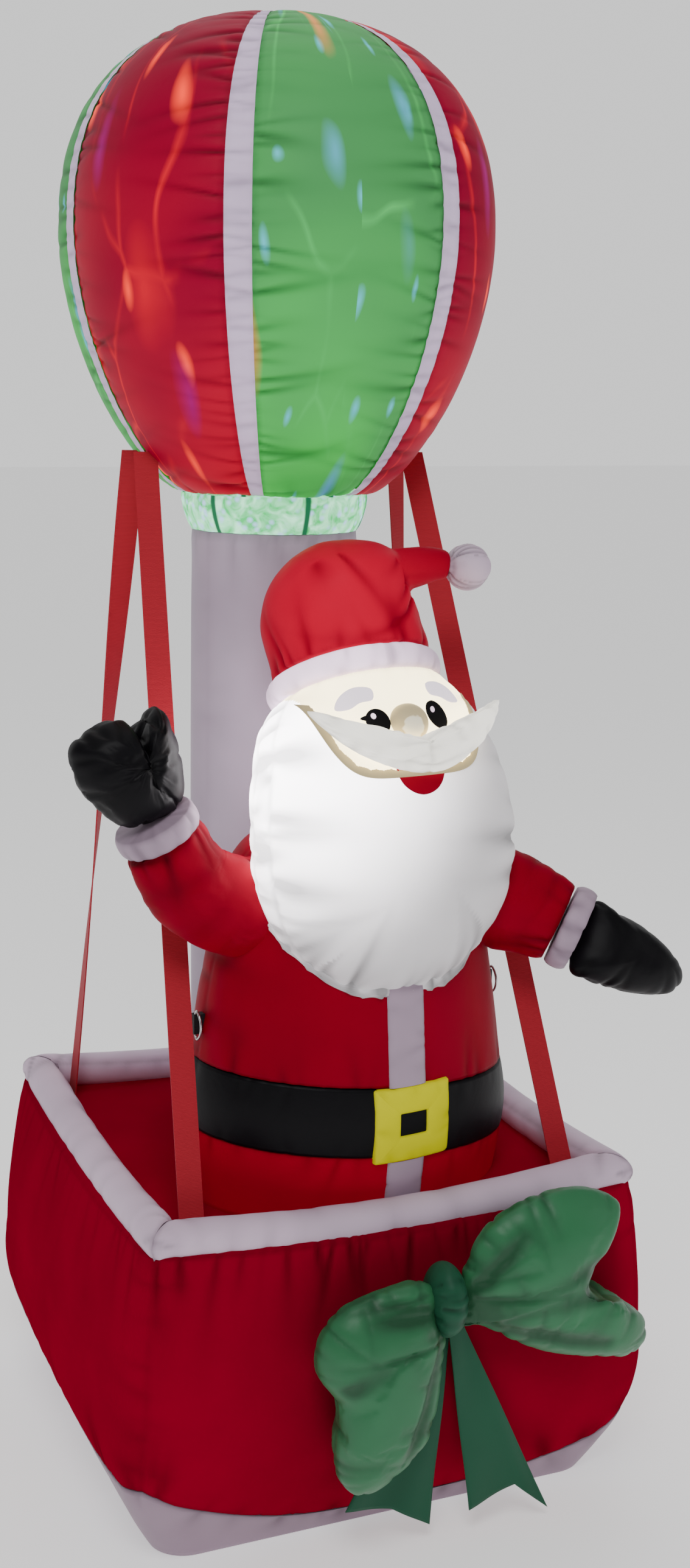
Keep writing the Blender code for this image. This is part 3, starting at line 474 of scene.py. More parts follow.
# %% Webbing
def webbing(name, colour):
    """Woven tape with cross ribs."""
    material, tree, shader, place = begin(name, 0.62, 0.2, 0.05)
    ribs = add(tree, "TexWave", {"Vector": place, "Scale": 190.0, "Distortion": 0.6},
               bands_direction="Z").outputs["Fac"]
    surface_colour = mixed(tree, 1.0, (*colour, 1.0), ramp(tree, ribs, (0.0, 0.78), (1.0, 1.05)), "MULTIPLY")
    tree.links.new(surface_colour, shader.inputs["Base Color"])
    bump = add(tree, "Bump", {"Height": ribs, "Strength": 0.4, "Distance": 0.0006})
    tree.links.new(bump.outputs[0], shader.inputs["Normal"])
    return material

# %% [markdown]
# The dyes are deep, because light that shines through cloth makes it look paler than it is.

# %% The dyes
HEAD_LAMP = (-0.17, -0.25, 1.12)
RED = (0.34, 0.001, 0.018)
balloon_red = lit_nylon("balloon_red", (0.34, 0.001, 0.034), (0.20, 0.0, 0.002), (0.42, 0.005, 0.0),
                        ((10.0, (0.95, 0.050, 0.002), 0.12, 0.9, 0.8),
                         (6.5, (0.30, 0.002, 0.0), 0.26, 0.7, 0.9),
                         (8.0, (0.08, 0.001, 0.08), 0.16, 0.4, 0.7)), 1.7)
balloon_green = lit_nylon("balloon_green", (0.085, 0.40, 0.120), (0.004, 0.24, 0.01),
                          (0.02, 0.24, 0.04),
                          ((13.0, (0.03, 0.24, 0.44), 0.11, 0.9, 1.0),
                           (8.0, (0.03, 0.12, 0.34), 0.13, 0.8, 0.7),
                           (7.0, (0.60, 0.055, 0.004), 0.10, 0.9, 0.45)), 4.2)
tape_white = nylon("tape_white", (0.66, 0.52, 0.72), glow=0.38)
rim_white = nylon("rim_white", (0.80, 0.62, 0.78))
strap_red = webbing("strap_red", (0.48, 0.016, 0.032))
bow_nylon = nylon("bow_nylon", (0.036, 0.20, 0.082), roughness=0.42, gloss=0.32)
bow_dark = nylon("bow_dark", (0.014, 0.100, 0.050), roughness=0.5, gloss=0.2)
suit_red = nylon("suit_red", RED, glow=1.5, lamp=(-0.06, -0.24, 1.30), spread=0.32, gloss=0.04)
trim_white = nylon("trim_white", (0.52, 0.39, 0.50), glow=4.6, lamp=(-0.06, -0.24, 1.16), spread=0.27)
black_nylon = nylon("black_nylon", (0.004, 0.0035, 0.005), roughness=0.46, gloss=0.13)
basket_red = nylon("basket_red", (0.33, 0.001, 0.022), gloss=0.0)
skirt_red = nylon("skirt_red", RED, glow=0.30, gloss=0.0)
basket_white = nylon("basket_white", (0.40, 0.29, 0.37))
column_white = nylon("column_white", (0.56, 0.47, 0.59), glow=0.06, crinkle=0.0008)
yellow = nylon("buckle_yellow", (0.92, 0.88, 0.0), gloss=0.0)
face_cream = nylon("face_cream", (0.92, 0.79, 0.47), glow=6.2, crinkle=0.0006)
beard_white = nylon("beard_white", (0.74, 0.71, 0.73), glow=13.0, lamp=HEAD_LAMP, spread=0.36,
                    far_glow=0.35)
grey = nylon("moustache_grey", (0.66, 0.64, 0.58), glow=2.3)
tan = nylon("face_tan", (0.46, 0.37, 0.20), glow=0.7)
brow_grey = nylon("brow_grey", (0.68, 0.60, 0.68), glow=1.9)
print("materials:", len(bpy.data.materials))

# %% [markdown]
# ## Balloon
# Six gores in two colours are sewn together under white tapes. The gathers run across every tape
# and die away in the gores.

# %% Balloon gores and tapes
def balloon_radius(up):
    """Radius of the balloon above its lower seam."""
    up = np.asarray(up, float)
    low = np.clip(1 - np.clip(1 - up / BALLOON_WIDEST, 0, 1) ** 1.8, 0, 1) ** 0.72
    high = np.clip((up - BALLOON_WIDEST) / (BALLOON_H - BALLOON_WIDEST), 0, 1)
    crown = BALLOON_R * (1 - high ** CROWN_POWER) ** (1 / CROWN_POWER)
    return np.where(up < BALLOON_WIDEST, COLLAR_TOP_R + (BALLOON_R - COLLAR_TOP_R) * low, crown)


def balloon_rows(centre, half_angle, steps, lift=0.0, rise=0.0):
    """Rows of a strip of the balloon, from the collar to the crown."""
    ups = np.concatenate([BALLOON_WIDEST * np.linspace(0, 1, 130)[:-1],
                          BALLOON_WIDEST + (BALLOON_H - BALLOON_WIDEST)
                          * np.sin(np.linspace(0, pi / 2, 130))])
    rows = []
    for up in ups:
        radius = max(float(balloon_radius(up)), 0.004)
        turn = np.linspace(-half_angle, half_angle, steps + 1)
        seam = np.abs(turn + centre - (np.round((turn + centre) / (pi / 3) - 0.5) + 0.5) * (pi / 3))
        share = 1 - seam / (pi / GORES)
        skin_r = radius - (LOBE_DEPTH * share ** 2) * radius / BALLOON_R + lift
        across = np.linspace(-1, 1, steps + 1)
        skin_r = skin_r + rise * (1 - across ** 2)
        angle = centre + turn
        rows.append(np.stack([skin_r * np.sin(angle), COLUMN_Y - skin_r * np.cos(angle),
                              np.full(steps + 1, BALLOON_Z + up)], 1))
    return rows


def tape_edge(tape, side):
    """The line where one edge of a tape is sewn."""
    centre = (tape + 0.5) * pi / 3
    return [row[0] for row in balloon_rows(centre + side * TAPE_HALF_ANGLE, 0.0, 1)]


lower_seam = [(COLLAR_TOP_R * sin(a), COLUMN_Y - COLLAR_TOP_R * cos(a), BALLOON_Z)
              for a in full_turn(72)]
for k in range(GORES):
    reach = pi / GORES - 0.8 * TAPE_HALF_ANGLE
    mesh = new_mesh("gore", *skin(balloon_rows(k * pi / 3, reach, 38, rise=0.004), looped=False))
    gathered(mesh, tape_edge(k - 1, 1), 0.020, 0.0062, 0.046, 10 + (k - 1) % GORES)
    gathered(mesh, tape_edge(k, -1), 0.020, 0.0062, 0.046, 30 + k)
    gathered(mesh, lower_seam, 0.030, 0.007, 0.030, 50, looped=True)
    show("gore_skin_%d" % (k + 1), mesh, balloon_green if k % 2 == 0 else balloon_red,
         ["gore_%d" % (k + 1)])
    centre = (k + 0.5) * pi / 3
    mesh = new_mesh("tape", *skin(balloon_rows(centre, TAPE_HALF_ANGLE, 8, 0.0022), looped=False))
    gathered(mesh, tape_edge(k, 1), 0.020, 0.0062, 0.046, 10 + k, weight=0.4)
    gathered(mesh, tape_edge(k, -1), 0.020, 0.0062, 0.046, 30 + k, weight=0.4)
    gathered(mesh, lower_seam, 0.030, 0.007, 0.030, 50, looped=True)
    show("tape_skin_%d" % (k + 1), mesh, tape_white, ["balloon_tape_%d" % (k + 1)])

# %% [markdown]
# ## Column and collar
# A plain tube stands on the deck. A thinner collar joins it to the balloon, and the lamp shows
# through it.

# %% Material of the collar
def level_ring(x, y, z, radius, sides=96):
    """A level ring of points."""
    turn = full_turn(sides)
    return np.stack([x + radius * np.sin(turn), y - radius * np.cos(turn), np.full(sides, z)], 1)


def collar_material():
    """Thin green nylon with the lamp mottled through it and dark seams."""
    material, tree, shader, place = begin("collar_lit", 0.5)
    cloud = add(tree, "TexNoise", {"Vector": place, "Scale": 40.0, "Detail": 3.0,
                                   "Distortion": 1.0}).outputs[0]
    tint = mixed(tree, ramp(tree, cloud, (0.36, 0.0), (0.66, 1.0)), (0.03, 0.50, 0.12, 1.0),
                 (0.40, 1.0, 0.62, 1.0))
    spots = add(tree, "TexVoronoi", {"Vector": place, "Scale": 70.0}).outputs
    fleck = ramp(tree, spots["Distance"], (0.15, 0.8), (0.42, 0.0))
    tint = mixed(tree, fleck, tint, (0.45, 0.62, 0.95, 1.0))
    turns = add(tree, "Math", {0: turn_of(tree, place), 1: 6 / (2 * pi)}, operation="MULTIPLY").outputs[0]
    place_in = add(tree, "Math", {0: turns}, operation="FRACT").outputs[0]
    off = add(tree, "Math", {0: place_in, 1: 0.5}, operation="SUBTRACT").outputs[0]
    near = add(tree, "Math", {0: off}, operation="ABSOLUTE").outputs[0]
    line = ramp(tree, near, (0.46, 0.0), (0.48, 1.0))
    final = mixed(tree, line, tint, (0.01, 0.10, 0.04, 1.0))
    tree.links.new(final, shader.inputs["Base Color"])
    tree.links.new(final, shader.inputs["Emission Color"])
    shader.inputs["Emission Strength"].default_value = 1.5
    crinkled(tree, shader, place)
    return material

# %% [markdown]
# Both are plain tubes, so their few gathers sit at the two ends and along one side seam.

# %% Column and collar skins
rows = []
for share in np.linspace(0, 1, 60):
    z = DECK_Z + 0.0006 + (COLUMN_TOP_Z - DECK_Z - 0.0006) * share
    rows.append(level_ring(0, COLUMN_Y, z, COLUMN_R - 0.0015 + 0.0015 * sin(pi * share)))
mesh = new_mesh("column", *skin(rows))
column_top = level_ring(0, COLUMN_Y, COLUMN_TOP_Z, COLUMN_R)
gathered(mesh, column_top, 0.035, 0.003, 0.045, 61, looped=True)
side_line = [(-COLUMN_R * 0.94, COLUMN_Y - COLUMN_R * 0.34, z) for z in (DECK_Z, COLUMN_TOP_Z)]
gathered(mesh, side_line, 0.055, 0.0007, 0.030, 62, groove=0.0004)
show("column_skin", mesh, column_white, ["column"])

rows = []
for share in np.linspace(0, 1, 22):
    z = COLUMN_TOP_Z + (COLLAR_TOP_Z - COLUMN_TOP_Z) * share
    radius = COLUMN_R + (COLLAR_TOP_R - COLUMN_R) * share + 0.003 * sin(pi * share)
    rows.append(level_ring(0, COLUMN_Y, z, radius, 144))
mesh = new_mesh("collar", *skin(rows))
gathered(mesh, column_top, 0.022, 0.003, 0.022, 63, looped=True)
gathered(mesh, lower_seam, 0.022, 0.004, 0.024, 64, looped=True)
show("collar_skin", mesh, collar_material(), ["collar"])

# %% [markdown]
# ## Straps
# Four straps of flat webbing look as if they carry the basket. They turn a little on their way down.

# %% Straps
def strap(name, side, end, turns):
    """One strap from the balloon's side to the deck."""
    reach = float(balloon_radius(STRAP_TOP_UP))
    top = np.array([side * reach, COLUMN_Y + end * STRAP_SPREAD, BALLOON_Z + STRAP_TOP_UP])
    inner = RIM_HALF - RIM_TUBE / 2 - 0.008
    corner = RIM_HALF - 0.052
    x, y = (corner, inner) if end < 0 else (inner, corner - STRAP_WIDTH / 4)
    foot = np.array([side * x, end * y, DECK_Z + SEWN_GAP])
    rows = []
    for share in np.linspace(0, 1, 80):
        middle = top + (foot - top) * share
        turn = radians(turns[0] + (turns[1] - turns[0]) * sin(pi / 2 * share))
        wide = np.array([cos(turn), sin(turn), 0.0])
        thin = np.array([-sin(turn), cos(turn), 0.0]) * STRAP_THICK / 2
        across = np.linspace(-0.5, 0.5, 7) * STRAP_WIDTH
        front = [middle + wide * a - thin for a in across]
        back = [middle + wide * a + thin for a in reversed(across)]
        rows.append(np.array(front + back))
    mesh = new_mesh(name, *skin(capped(rows)))
    mesh.set_sharp_from_angle(angle=radians(40))
    show(name + "_webbing", mesh, strap_red, [name])


for name, side, end, turns in (
        ("strap_front_left", -1, -1, (-20, 0)), ("strap_front_right", 1, -1, (-20, 0)),
        ("strap_back_left", -1, 1, (-20, 90)), ("strap_back_right", 1, 1, (20, 90))):
    strap(name, side, end, turns)

# %% [markdown]
# ## Basket
# The basket is a soft box. Its red sides swell out and are gathered under the rim, and its white
# foot shows below a curved seam.

# %% Outline of the basket
def unit_square(corner, side_steps=140, corner_steps=14):
    """A square of half side 1 with round corners."""
    straight = 1 - corner
    quarter = [(straight * (2 * k / side_steps - 1), -1.0) for k in range(side_steps)]
    for k in range(corner_steps):
        turn = pi / 2 * k / corner_steps
        quarter.append((straight + corner * sin(turn), -straight - corner * cos(turn)))
    ring = []
    for side in range(4):
        c, s = round(cos(side * pi / 2)), round(sin(side * pi / 2))
        ring += [(x * c - y * s, x * s + y * c) for x, y in quarter]
    return np.array(ring)


def basket_half(z):
    """Half the basket's width at a height."""
    low = BASE_HALF + (BULGE_HALF - BASE_HALF) * np.sin(pi / 2 * np.clip(z / BULGE_Z, 0, 1))
    share = np.clip((z - BULGE_Z) / (RIM_CORNER_Z - BULGE_Z), 0, 1)
    top = RIM_HALF + RIM_TUBE / 2
    return np.where(z < BULGE_Z, low, top + (BULGE_HALF - top) * np.cos(pi / 2 * share))


def seam_z(x, along, sideways):
    """Height of the foot's seam, higher on the two sides, which climbs sooner to the left corners."""
    middle = SEAM_MID_Z + (SEAM_SIDE_Z - SEAM_MID_Z) * sideways
    corner = SEAM_CORNER_Z - SEAM_LEAN * x
    return middle + (corner - middle) * along ** (SEAM_POWER + SEAM_BEND * x)


def rim_z(along):
    """Height of the rim's centre line along a side."""
    return RIM_CORNER_Z - RIM_SAG * (1 - along ** 2)


def basket_ring(corner, height):
    """One ring round the basket."""
    ring = unit_square(corner)
    sideways = np.clip(0.5 + (np.abs(ring[:, 0]) - np.abs(ring[:, 1])) / SEAM_BLEND, 0, 1)
    z = height(ring[:, 0], np.abs(ring).min(axis=1), sideways)
    half = basket_half(z)
    wide = half * (1 + SIDE_SWELL * np.cos(pi / 2 * np.clip(z / BULGE_Z, 0, 1)))
    wide = wide + SIDE_BELLY * (1 - ring[:, 1] ** 2) * np.sin(pi * np.clip(z / RIM_CORNER_Z, 0, 1))
    return np.stack([ring[:, 0] * wide, ring[:, 1] * half, z], 1)


def side_height(share):
    """Height of the red side at a share of its way up."""
    def height(x, along, sideways):
        return (1 - share) * (seam_z(x, along, sideways) + SEWN_GAP) + share * (rim_z(along) - RIM_LAP)
    return height

# %% [markdown]
# The sides rise from the foot's seam to the rim, and the same skin goes on inwards as the deck.
# Only the outer part is gathered.

# %% Red sides and deck
rows = []
for share in np.linspace(0, 1, 64):
    swell = sin(pi * min(share * 1.1, 1.0))
    ends = BASE_CORNER + (TOP_CORNER - BASE_CORNER) * share
    rows.append(basket_ring(ends + (BULGE_CORNER - ends) * swell, side_height(share)))
outer = len(rows) * len(rows[0])
rim_line, foot_line, sides = rows[-1].copy(), rows[0].copy(), list(rows)
deck = unit_square(0.10)
for half, rise in ((0.345, 0.026), (0.322, 0.005), (0.3105, -0.0001), (0.29, 0.0003), (0.22, 0.0005),
                   (0.12, 0.0005), (0.03, 0.0005)):
    rows.append(np.column_stack([deck * half, np.full(len(deck), DECK_Z + rise)]))
mesh = new_mesh("basket", *skin(rows))
weight = (np.arange(len(mesh.vertices)) < outer).astype(float)
points, _ = points_of(mesh)
calm = np.where(np.abs(points[:, 0]) > np.abs(points[:, 1]), 0.35, 0.85)
gathered(mesh, rim_line, 0.024, 0.0068, 0.056, 71, looped=True, weight=weight * calm)
gathered(mesh, foot_line, 0.050, 0.0050, 0.034, 72, looped=True, weight=weight)
for k in range(4):
    gathered(mesh, [row[147 + 154 * k] for row in sides], 0.045, 0.0012, 0.045, 73 + k,
             groove=0.0006, weight=weight)
show("basket_skin", mesh, basket_red, ["basket"])

# %% [markdown]
# The foot is one shallow bag that stands flat on the ground, so its gathers fade out at the floor.

# %% White foot
rows = [basket_ring(BASE_CORNER, lambda x, along, sideways, s=s: s * seam_z(x, along, sideways))
        for s in np.linspace(0, 1, 14)]
floor_ring = rows[0]
rows = [floor_ring.mean(0), floor_ring * (0.3, 0.3, 1), floor_ring * (0.7, 0.7, 1)] + rows
rows += [rows[-1] * (0.96, 0.96, 1)]
mesh = new_mesh("foot", *skin(rows))
points, _ = points_of(mesh)
gathered(mesh, foot_line, 0.045, 0.0045, 0.030, 77, looped=True,
         weight=np.clip(points[:, 2] / 0.02, 0, 1))
show("foot_skin", mesh, basket_white, ["basket_base"])

# %% [markdown]
# ## Rim
# Four padded tubes are sewn along the basket's edge and meet in mitres. Their skin is creased at
# the mitres and along the seam.

# %% Rim tubes
def rim_row(along, radius, side, sides=30):
    """One ring of a rim tube."""
    turn = full_turn(sides)
    out = radius * np.cos(turn)
    x, y = along * (RIM_HALF + out), -RIM_HALF - out
    x = x - along * SEWN_GAP
    c, s = round(cos(side * pi / 2)), round(sin(side * pi / 2))
    return np.stack([x * c - y * s, x * s + y * c, rim_z(abs(along)) + radius * np.sin(turn)], 1)


for side, name in enumerate(("front", "right", "back", "left")):
    rows = []
    for along in np.sin(np.linspace(-pi / 2, pi / 2, 110)):
        rows.append(rim_row(along, RIM_TUBE / 2 * (1 - 0.10 * abs(along) ** 30), side))
    mesh = new_mesh("rim", *skin(capped(rows)))
    inner_seam = [row[int(len(row) * 0.42)] for row in rows]
    under_seam = [row[int(len(row) * 0.80)] for row in rows]
    gathered(mesh, under_seam, 0.034, 0.0035, 0.022, 81 + side)
    gathered(mesh, inner_seam, 0.050, 0.0030, 0.018, 85 + side)
    for end, row in ((0, rows[1]), (1, rows[-2])):
        gathered(mesh, row, 0.026, 0.0040, 0.030, 90 + 2 * side + end, looped=True)
    show("rim_skin_" + name, mesh, rim_white, ["rim_" + name])

# %% [markdown]
# ## Body
# The body is one upright bag with a belt sewn round it, so the skirt, belt and jacket follow one
# profile. The belt slopes a little.

# %% Profile of the body
def figure_point(s, f, up):
    """A point of the figure: s to its side, f forwards, up from the deck."""
    c, t = cos(FIGURE_TURN), sin(FIGURE_TURN)
    return np.stack(np.broadcast_arrays(FIGURE_X + s * c + f * t, FIGURE_Y + s * t - f * c,
                                        DECK_Z + SEWN_GAP + up), -1)


def figure_line(spots):
    """A line through points of the figure."""
    return [figure_point(*p) for p in spots]


BODY_TABLE = smooth_curve([(0.00, 0.955, 0.92), (0.22, 1.00, 1.00), (0.42, 0.945, 0.96),
                           (0.62, 0.87, 0.90), (0.80, 0.79, 0.82), (0.92, 0.66, 0.68),
                           (1.00, 0.36, 0.38)], 8)


def body_half(up):
    """Half width and half depth of the body at a height."""
    level = np.clip(np.asarray(up, float) / BODY_H, 0, 1)
    return (BODY_RX * np.interp(level, BODY_TABLE[:, 0], BODY_TABLE[:, 1]),
            BODY_RY * np.interp(level, BODY_TABLE[:, 0], BODY_TABLE[:, 2]))


def body_ring(up, slope=0.0, sides=300, puff=0.0):
    """A ring of the body, level or sloping down to one side."""
    wide, deep = body_half(up)
    turn = full_turn(sides)
    return figure_point((wide + puff) * np.sin(turn), (deep + puff) * np.cos(turn),
                        up + slope * wide * np.sin(turn))


def body_front(s, up, out):
    """A point over the front of the body."""
    wide, deep = body_half(up)
    return figure_point(s, deep * np.sqrt(1 - np.clip(s / wide, -1, 1) ** 2) + out, up)


def body_side(side, low, high):
    """The seam up one side of the body."""
    return [body_ring(up)[75 if side > 0 else 225] for up in np.linspace(low, high, 16)]

# %% [markdown]
# The three bags share the lines where they are sewn together, so their gathers start from the same
# lines.

# %% Skirt, belt and jacket
BELT_LOW_LINE = body_ring(BELT_UP, BELT_SLOPE)
BELT_HIGH_LINE = body_ring(BELT_TOP, BELT_SLOPE)
rows = [body_ring(up, BELT_SLOPE * up / BELT_UP) for up in np.linspace(0, BELT_UP, 18)]
mesh = new_mesh("skirt", *skin(capped(rows)))
gathered(mesh, BELT_LOW_LINE, 0.036, 0.0028, 0.030, 101, looped=True)
show("skirt_skin", mesh, skirt_red, ["jacket_skirt"])

rows = [body_ring(BELT_UP + (BELT_TOP - BELT_UP) * share, BELT_SLOPE, puff=0.0022 * sin(pi * share))
        for share in np.linspace(0.004, 0.996, 22)]
mesh = new_mesh("belt", *skin(capped(rows)))
gathered(mesh, BELT_HIGH_LINE, 0.030, 0.0030, 0.022, 102, looped=True, groove=0.0005)
gathered(mesh, BELT_LOW_LINE, 0.034, 0.0026, 0.018, 103, looped=True, groove=0.0005)
show("belt_skin", mesh, black_nylon, ["belt"])

rows = []
for share in np.linspace(0, 1, 60):
    up = BELT_TOP + 0.0005 + (BODY_H - BELT_TOP) * share
    rows.append(body_ring(up, BELT_SLOPE * (1 - share)))
mesh = new_mesh("jacket", *skin(capped(rows)))
gathered(mesh, BELT_HIGH_LINE, 0.036, 0.0030, 0.034, 104, looped=True)
for side in (-1, 1):
    gathered(mesh, body_side(side, BELT_TOP, BODY_H), 0.045, 0.0035, 0.050, 105 + side)
show("jacket_skin", mesh, suit_red, ["jacket"])

# %% [markdown]
# ## Front band and buckle
# A white band is sewn down the front, behind the belt, and a yellow buckle is sewn over it.

# %% Front band
def band(name, low, high, nodes, seed):
    """A sewn band that follows the front of the body."""
    rows = []
    across = np.concatenate([[-1.02], np.linspace(-1, 1, 15), [1.02]])
    puff = np.concatenate([[-0.004], 0.0022 + 0.0018 * np.sqrt(1 - np.linspace(-1, 1, 15) ** 2),
                           [-0.004]])
    for up in np.linspace(low, high, 60):
        rows.append(body_front(0.0285 * across, up, puff))
    mesh = new_mesh(name, *skin(rows, looped=False))
    for k, at in ((0, 1), (1, -2)):
        gathered(mesh, [row[at] for row in rows], 0.032, 0.0028, 0.020, seed + k, groove=0.0004)
    show(name, mesh, trim_white, nodes)


buckle_low, buckle_high = 0.083, 0.191
band("band_lower", 0.003, buckle_low, ["placket_lower"], 111)
band("band_upper", buckle_high, 0.50, ["placket_upper"], 113)

# %% [markdown]
# The buckle is a thin square patch with a hole. It follows the round of the belt.

# %% Buckle
ring = unit_square(0.06, 14, 4)
hole = unit_square(0.10, 14, 4)
rows = []
for size, out in ((0.0, -0.003), (0.0, 0.0050), (0.10, 0.0068), (0.35, 0.0078), (0.65, 0.0078),
                  (0.90, 0.0068), (1.0, 0.0048), (1.0, -0.003)):
    across = hole[:, 0] * 0.021 * (1 - size) + ring[:, 0] * 0.060 * size
    above = hole[:, 1] * 0.016 * (1 - size) + ring[:, 1] * 0.054 * size
    rows.append(body_front(0.008 + across, (buckle_low + buckle_high) / 2 + above, out))
mesh = with_modifiers(new_mesh("buckle", *skin(rows)), ("SUBSURF", {"levels": 1}))
gathered(mesh, rows[6], 0.030, 0.0022, 0.016, 115, looped=True, groove=0.0)
show("buckle_patch", mesh, yellow, ["buckle"])

# %% [markdown]
# ## Head and beard
# Head and beard are one bag: broad and deep at the beard, tilted back where the hat's band closes
# it. The face is a cream panel let into its front.

# %% Head and beard bag
def blunt(value):
    """A rounder corner than a circle's."""
    return np.sign(value) * np.abs(value) ** 0.92


BAG = smooth_curve([(0.322, 0.112, 0.064, 0.042, 0), (0.345, 0.107, 0.110, 0.074, 0),
                    (0.395, 0.102, 0.160, 0.103, 0), (0.455, 0.100, 0.187, 0.117, 0),
                    (0.520, 0.096, 0.196, 0.120, 1), (0.580, 0.084, 0.191, 0.119, 4),
                    (0.630, 0.067, 0.179, 0.117, 10), (0.672, 0.042, 0.160, 0.113, 18),
                    (0.698, 0.022, 0.136, 0.113, 24), (0.7106, 0.0084, 0.1155, 0.1150, 28)], 10)
SIDES = 280


def bag_ring(up, f, wide, deep, tilt):
    """A ring of the bag, tilted back towards the hat."""
    turn = full_turn(SIDES)
    forward = deep * blunt(np.cos(turn))
    return np.stack([wide * blunt(np.sin(turn)), f + forward * cos(radians(tilt)),
                     up + forward * sin(radians(tilt))], 1)


drawn = [bag_ring(*row) for row in BAG]
flat = []
for ring in drawn:
    wide, deep = body_half(ring[:, 2])
    front = deep * np.sqrt(np.clip(1 - (ring[:, 0] / wide) ** 2, 0, 1)) + 0.001
    on_chest = (np.abs(ring[:, 0]) < wide) & (ring[:, 2] < BODY_H) & (ring[:, 1] < front)
    flat.append(np.column_stack([ring[:, 0], np.where(on_chest, front, ring[:, 1]), ring[:, 2]]))
rows = [figure_point(*ring.T) for ring in flat]
tip = figure_point(0.0, 0.128, 0.3125)
points, faces = skin([tip] + rows + [rows[-1].mean(0)])
bag_mesh = new_mesh("bag", points, faces)

# %% [markdown]
# The strongest gathers of the whole figure run round the beard's outline, on both sides of its seam.

# %% Seams of the bag
def seam_of_bag(turn):
    """The seam that runs round the bag's outline, from hat to hat."""
    k = int(SIDES * turn)
    return [row[SIDES - k] for row in rows[1:]][::-1] + [row[k] for row in rows[1:]]


gathered(bag_mesh, seam_of_bag(0.215), 0.040, 0.0130, 0.055, 121, weight=1.0)
gathered(bag_mesh, seam_of_bag(0.265), 0.034, 0.0080, 0.030, 122)
gathered(bag_mesh, rows[-1], 0.030, 0.0025, 0.018, 123, looped=True)

# %% [markdown]
# The cream panel runs from the hat's band down to a curved edge under the moustache. A tan line
# with a scalloped edge is sewn along it.

# %% Face panel
def panel_edge(s):
    """Height of the face panel's lower edge."""
    return 0.634 + 0.082 * (np.abs(s) / 0.124) ** 7


def split(mesh, inside):
    """Two meshes, of the faces inside and outside a region."""
    points, _ = points_of(mesh)
    c, t = cos(FIGURE_TURN), sin(FIGURE_TURN)
    x, y = points[:, 0] - FIGURE_X, points[:, 1] - FIGURE_Y
    local = np.column_stack([x * c + y * t, x * t - y * c, points[:, 2] - DECK_Z - SEWN_GAP])
    parts = []
    for keep in (True, False):
        work = bmesh.new()
        work.from_mesh(mesh)
        gone = [f for f in work.faces
                if inside(np.mean([local[v.index] for v in f.verts], axis=0)) != keep]
        bmesh.ops.delete(work, geom=gone, context="FACES")
        part = bpy.data.meshes.new("part")
        work.to_mesh(part)
        work.free()
        part.shade_smooth()
        parts.append(part)
    return parts

# %% [markdown]
# One bag is cut in two along the panel's edge. So the two meshes meet without a step.

# %% Face and beard parted
face_part, beard_part = split(bag_mesh, lambda p: bool(
    abs(p[0]) < 0.125 and p[2] > panel_edge(p[0]) and p[1] > 0.02))
bag_tree = BVHTree.FromPolygons([tuple(p) for p in points_of(bag_mesh)[0]],
                                [tuple(p.vertices) for p in bag_mesh.polygons])
show("face_panel", face_part, face_cream, ["head"])
show("beard_bag", beard_part, beard_white, ["beard"])

# %% [markdown]
# ## Face
# The features are flat patches: dark eyes with a white fleck, pale brows and a red mouth. Each is
# laid on the bag's skin from in front.

# %% Laying a patch on the face
toward = Vector(figure_point(0.0, 1.0, 0.0) - figure_point(0.0, 0.0, 0.0))


def on_face(s, up, lift=0.0012):
    """The place on the bag's skin straight behind a point in front of the face."""
    start = Vector(figure_point(s, 0.6, up))
    hit, normal, _, _ = bag_tree.ray_cast(start, -toward)
    if hit is None:
        hit, normal, _, _ = bag_tree.find_nearest(Vector(figure_point(s, 0.05, up)))
    if normal.dot(toward) < 0:
        normal = -normal
    return np.array(hit + normal * lift)


def patch(name, outline, material, lift=0.0012, steps=4):
    """A flat shape laid on the skin."""
    outline = smooth_curve(outline, steps, looped=True)
    middle = outline.mean(0)
    rows = [on_face(*middle, lift)]
    for share in (0.2, 0.4, 0.6, 0.8, 0.94, 1.0):
        rows.append(np.array([on_face(*(middle + (p - middle) * share), lift) for p in outline]))
    rows.append(np.array([on_face(*(middle + (p - middle) * 1.01), -0.001) for p in outline]))
    return show(name, new_mesh(name, *skin(rows)), material)


def oval(s, up, wide, high, lean=0.0, count=14):
    """An oval outline."""
    turn = full_turn(count)
    return [(s + wide * sin(a) + lean * high * cos(a), up + high * cos(a)) for a in turn]

# %% [markdown]
# Each patch is an oval or a few points joined by a smooth curve.

# %% Eyes, brows and mouth
patch("eye_left", oval(-0.045, 0.699, 0.0165, 0.0155), black_nylon)
patch("eye_right", oval(0.046, 0.702, 0.0150, 0.0175, -0.25), black_nylon)
patch("lash_left", [(-0.068, 0.7025), (-0.060, 0.7065), (-0.050, 0.7065), (-0.055, 0.7000)],
      black_nylon)
patch("fleck_left", oval(-0.050, 0.7055, 0.0034, 0.0034), trim_white, 0.0022)
patch("fleck_right", oval(0.0405, 0.7085, 0.0032, 0.0036), trim_white, 0.0022)
patch("brow_left", [(-0.095, 0.713), (-0.084, 0.729), (-0.064, 0.740), (-0.043, 0.739),
                    (-0.044, 0.726), (-0.062, 0.722), (-0.078, 0.714)], brow_grey)
patch("brow_right", [(0.095, 0.713), (0.084, 0.729), (0.064, 0.740), (0.043, 0.741),
                     (0.044, 0.728), (0.062, 0.722), (0.078, 0.714)], brow_grey)
patch("mouth", [(-0.033, 0.646), (-0.030, 0.624), (-0.014, 0.610), (0.004, 0.606),
                (0.022, 0.612), (0.034, 0.626), (0.036, 0.646), (0.0, 0.652)],
      suit_red, 0.0016)

# %% [markdown]
# The line's upper edge is scalloped and a little uneven, as cut cloth is.

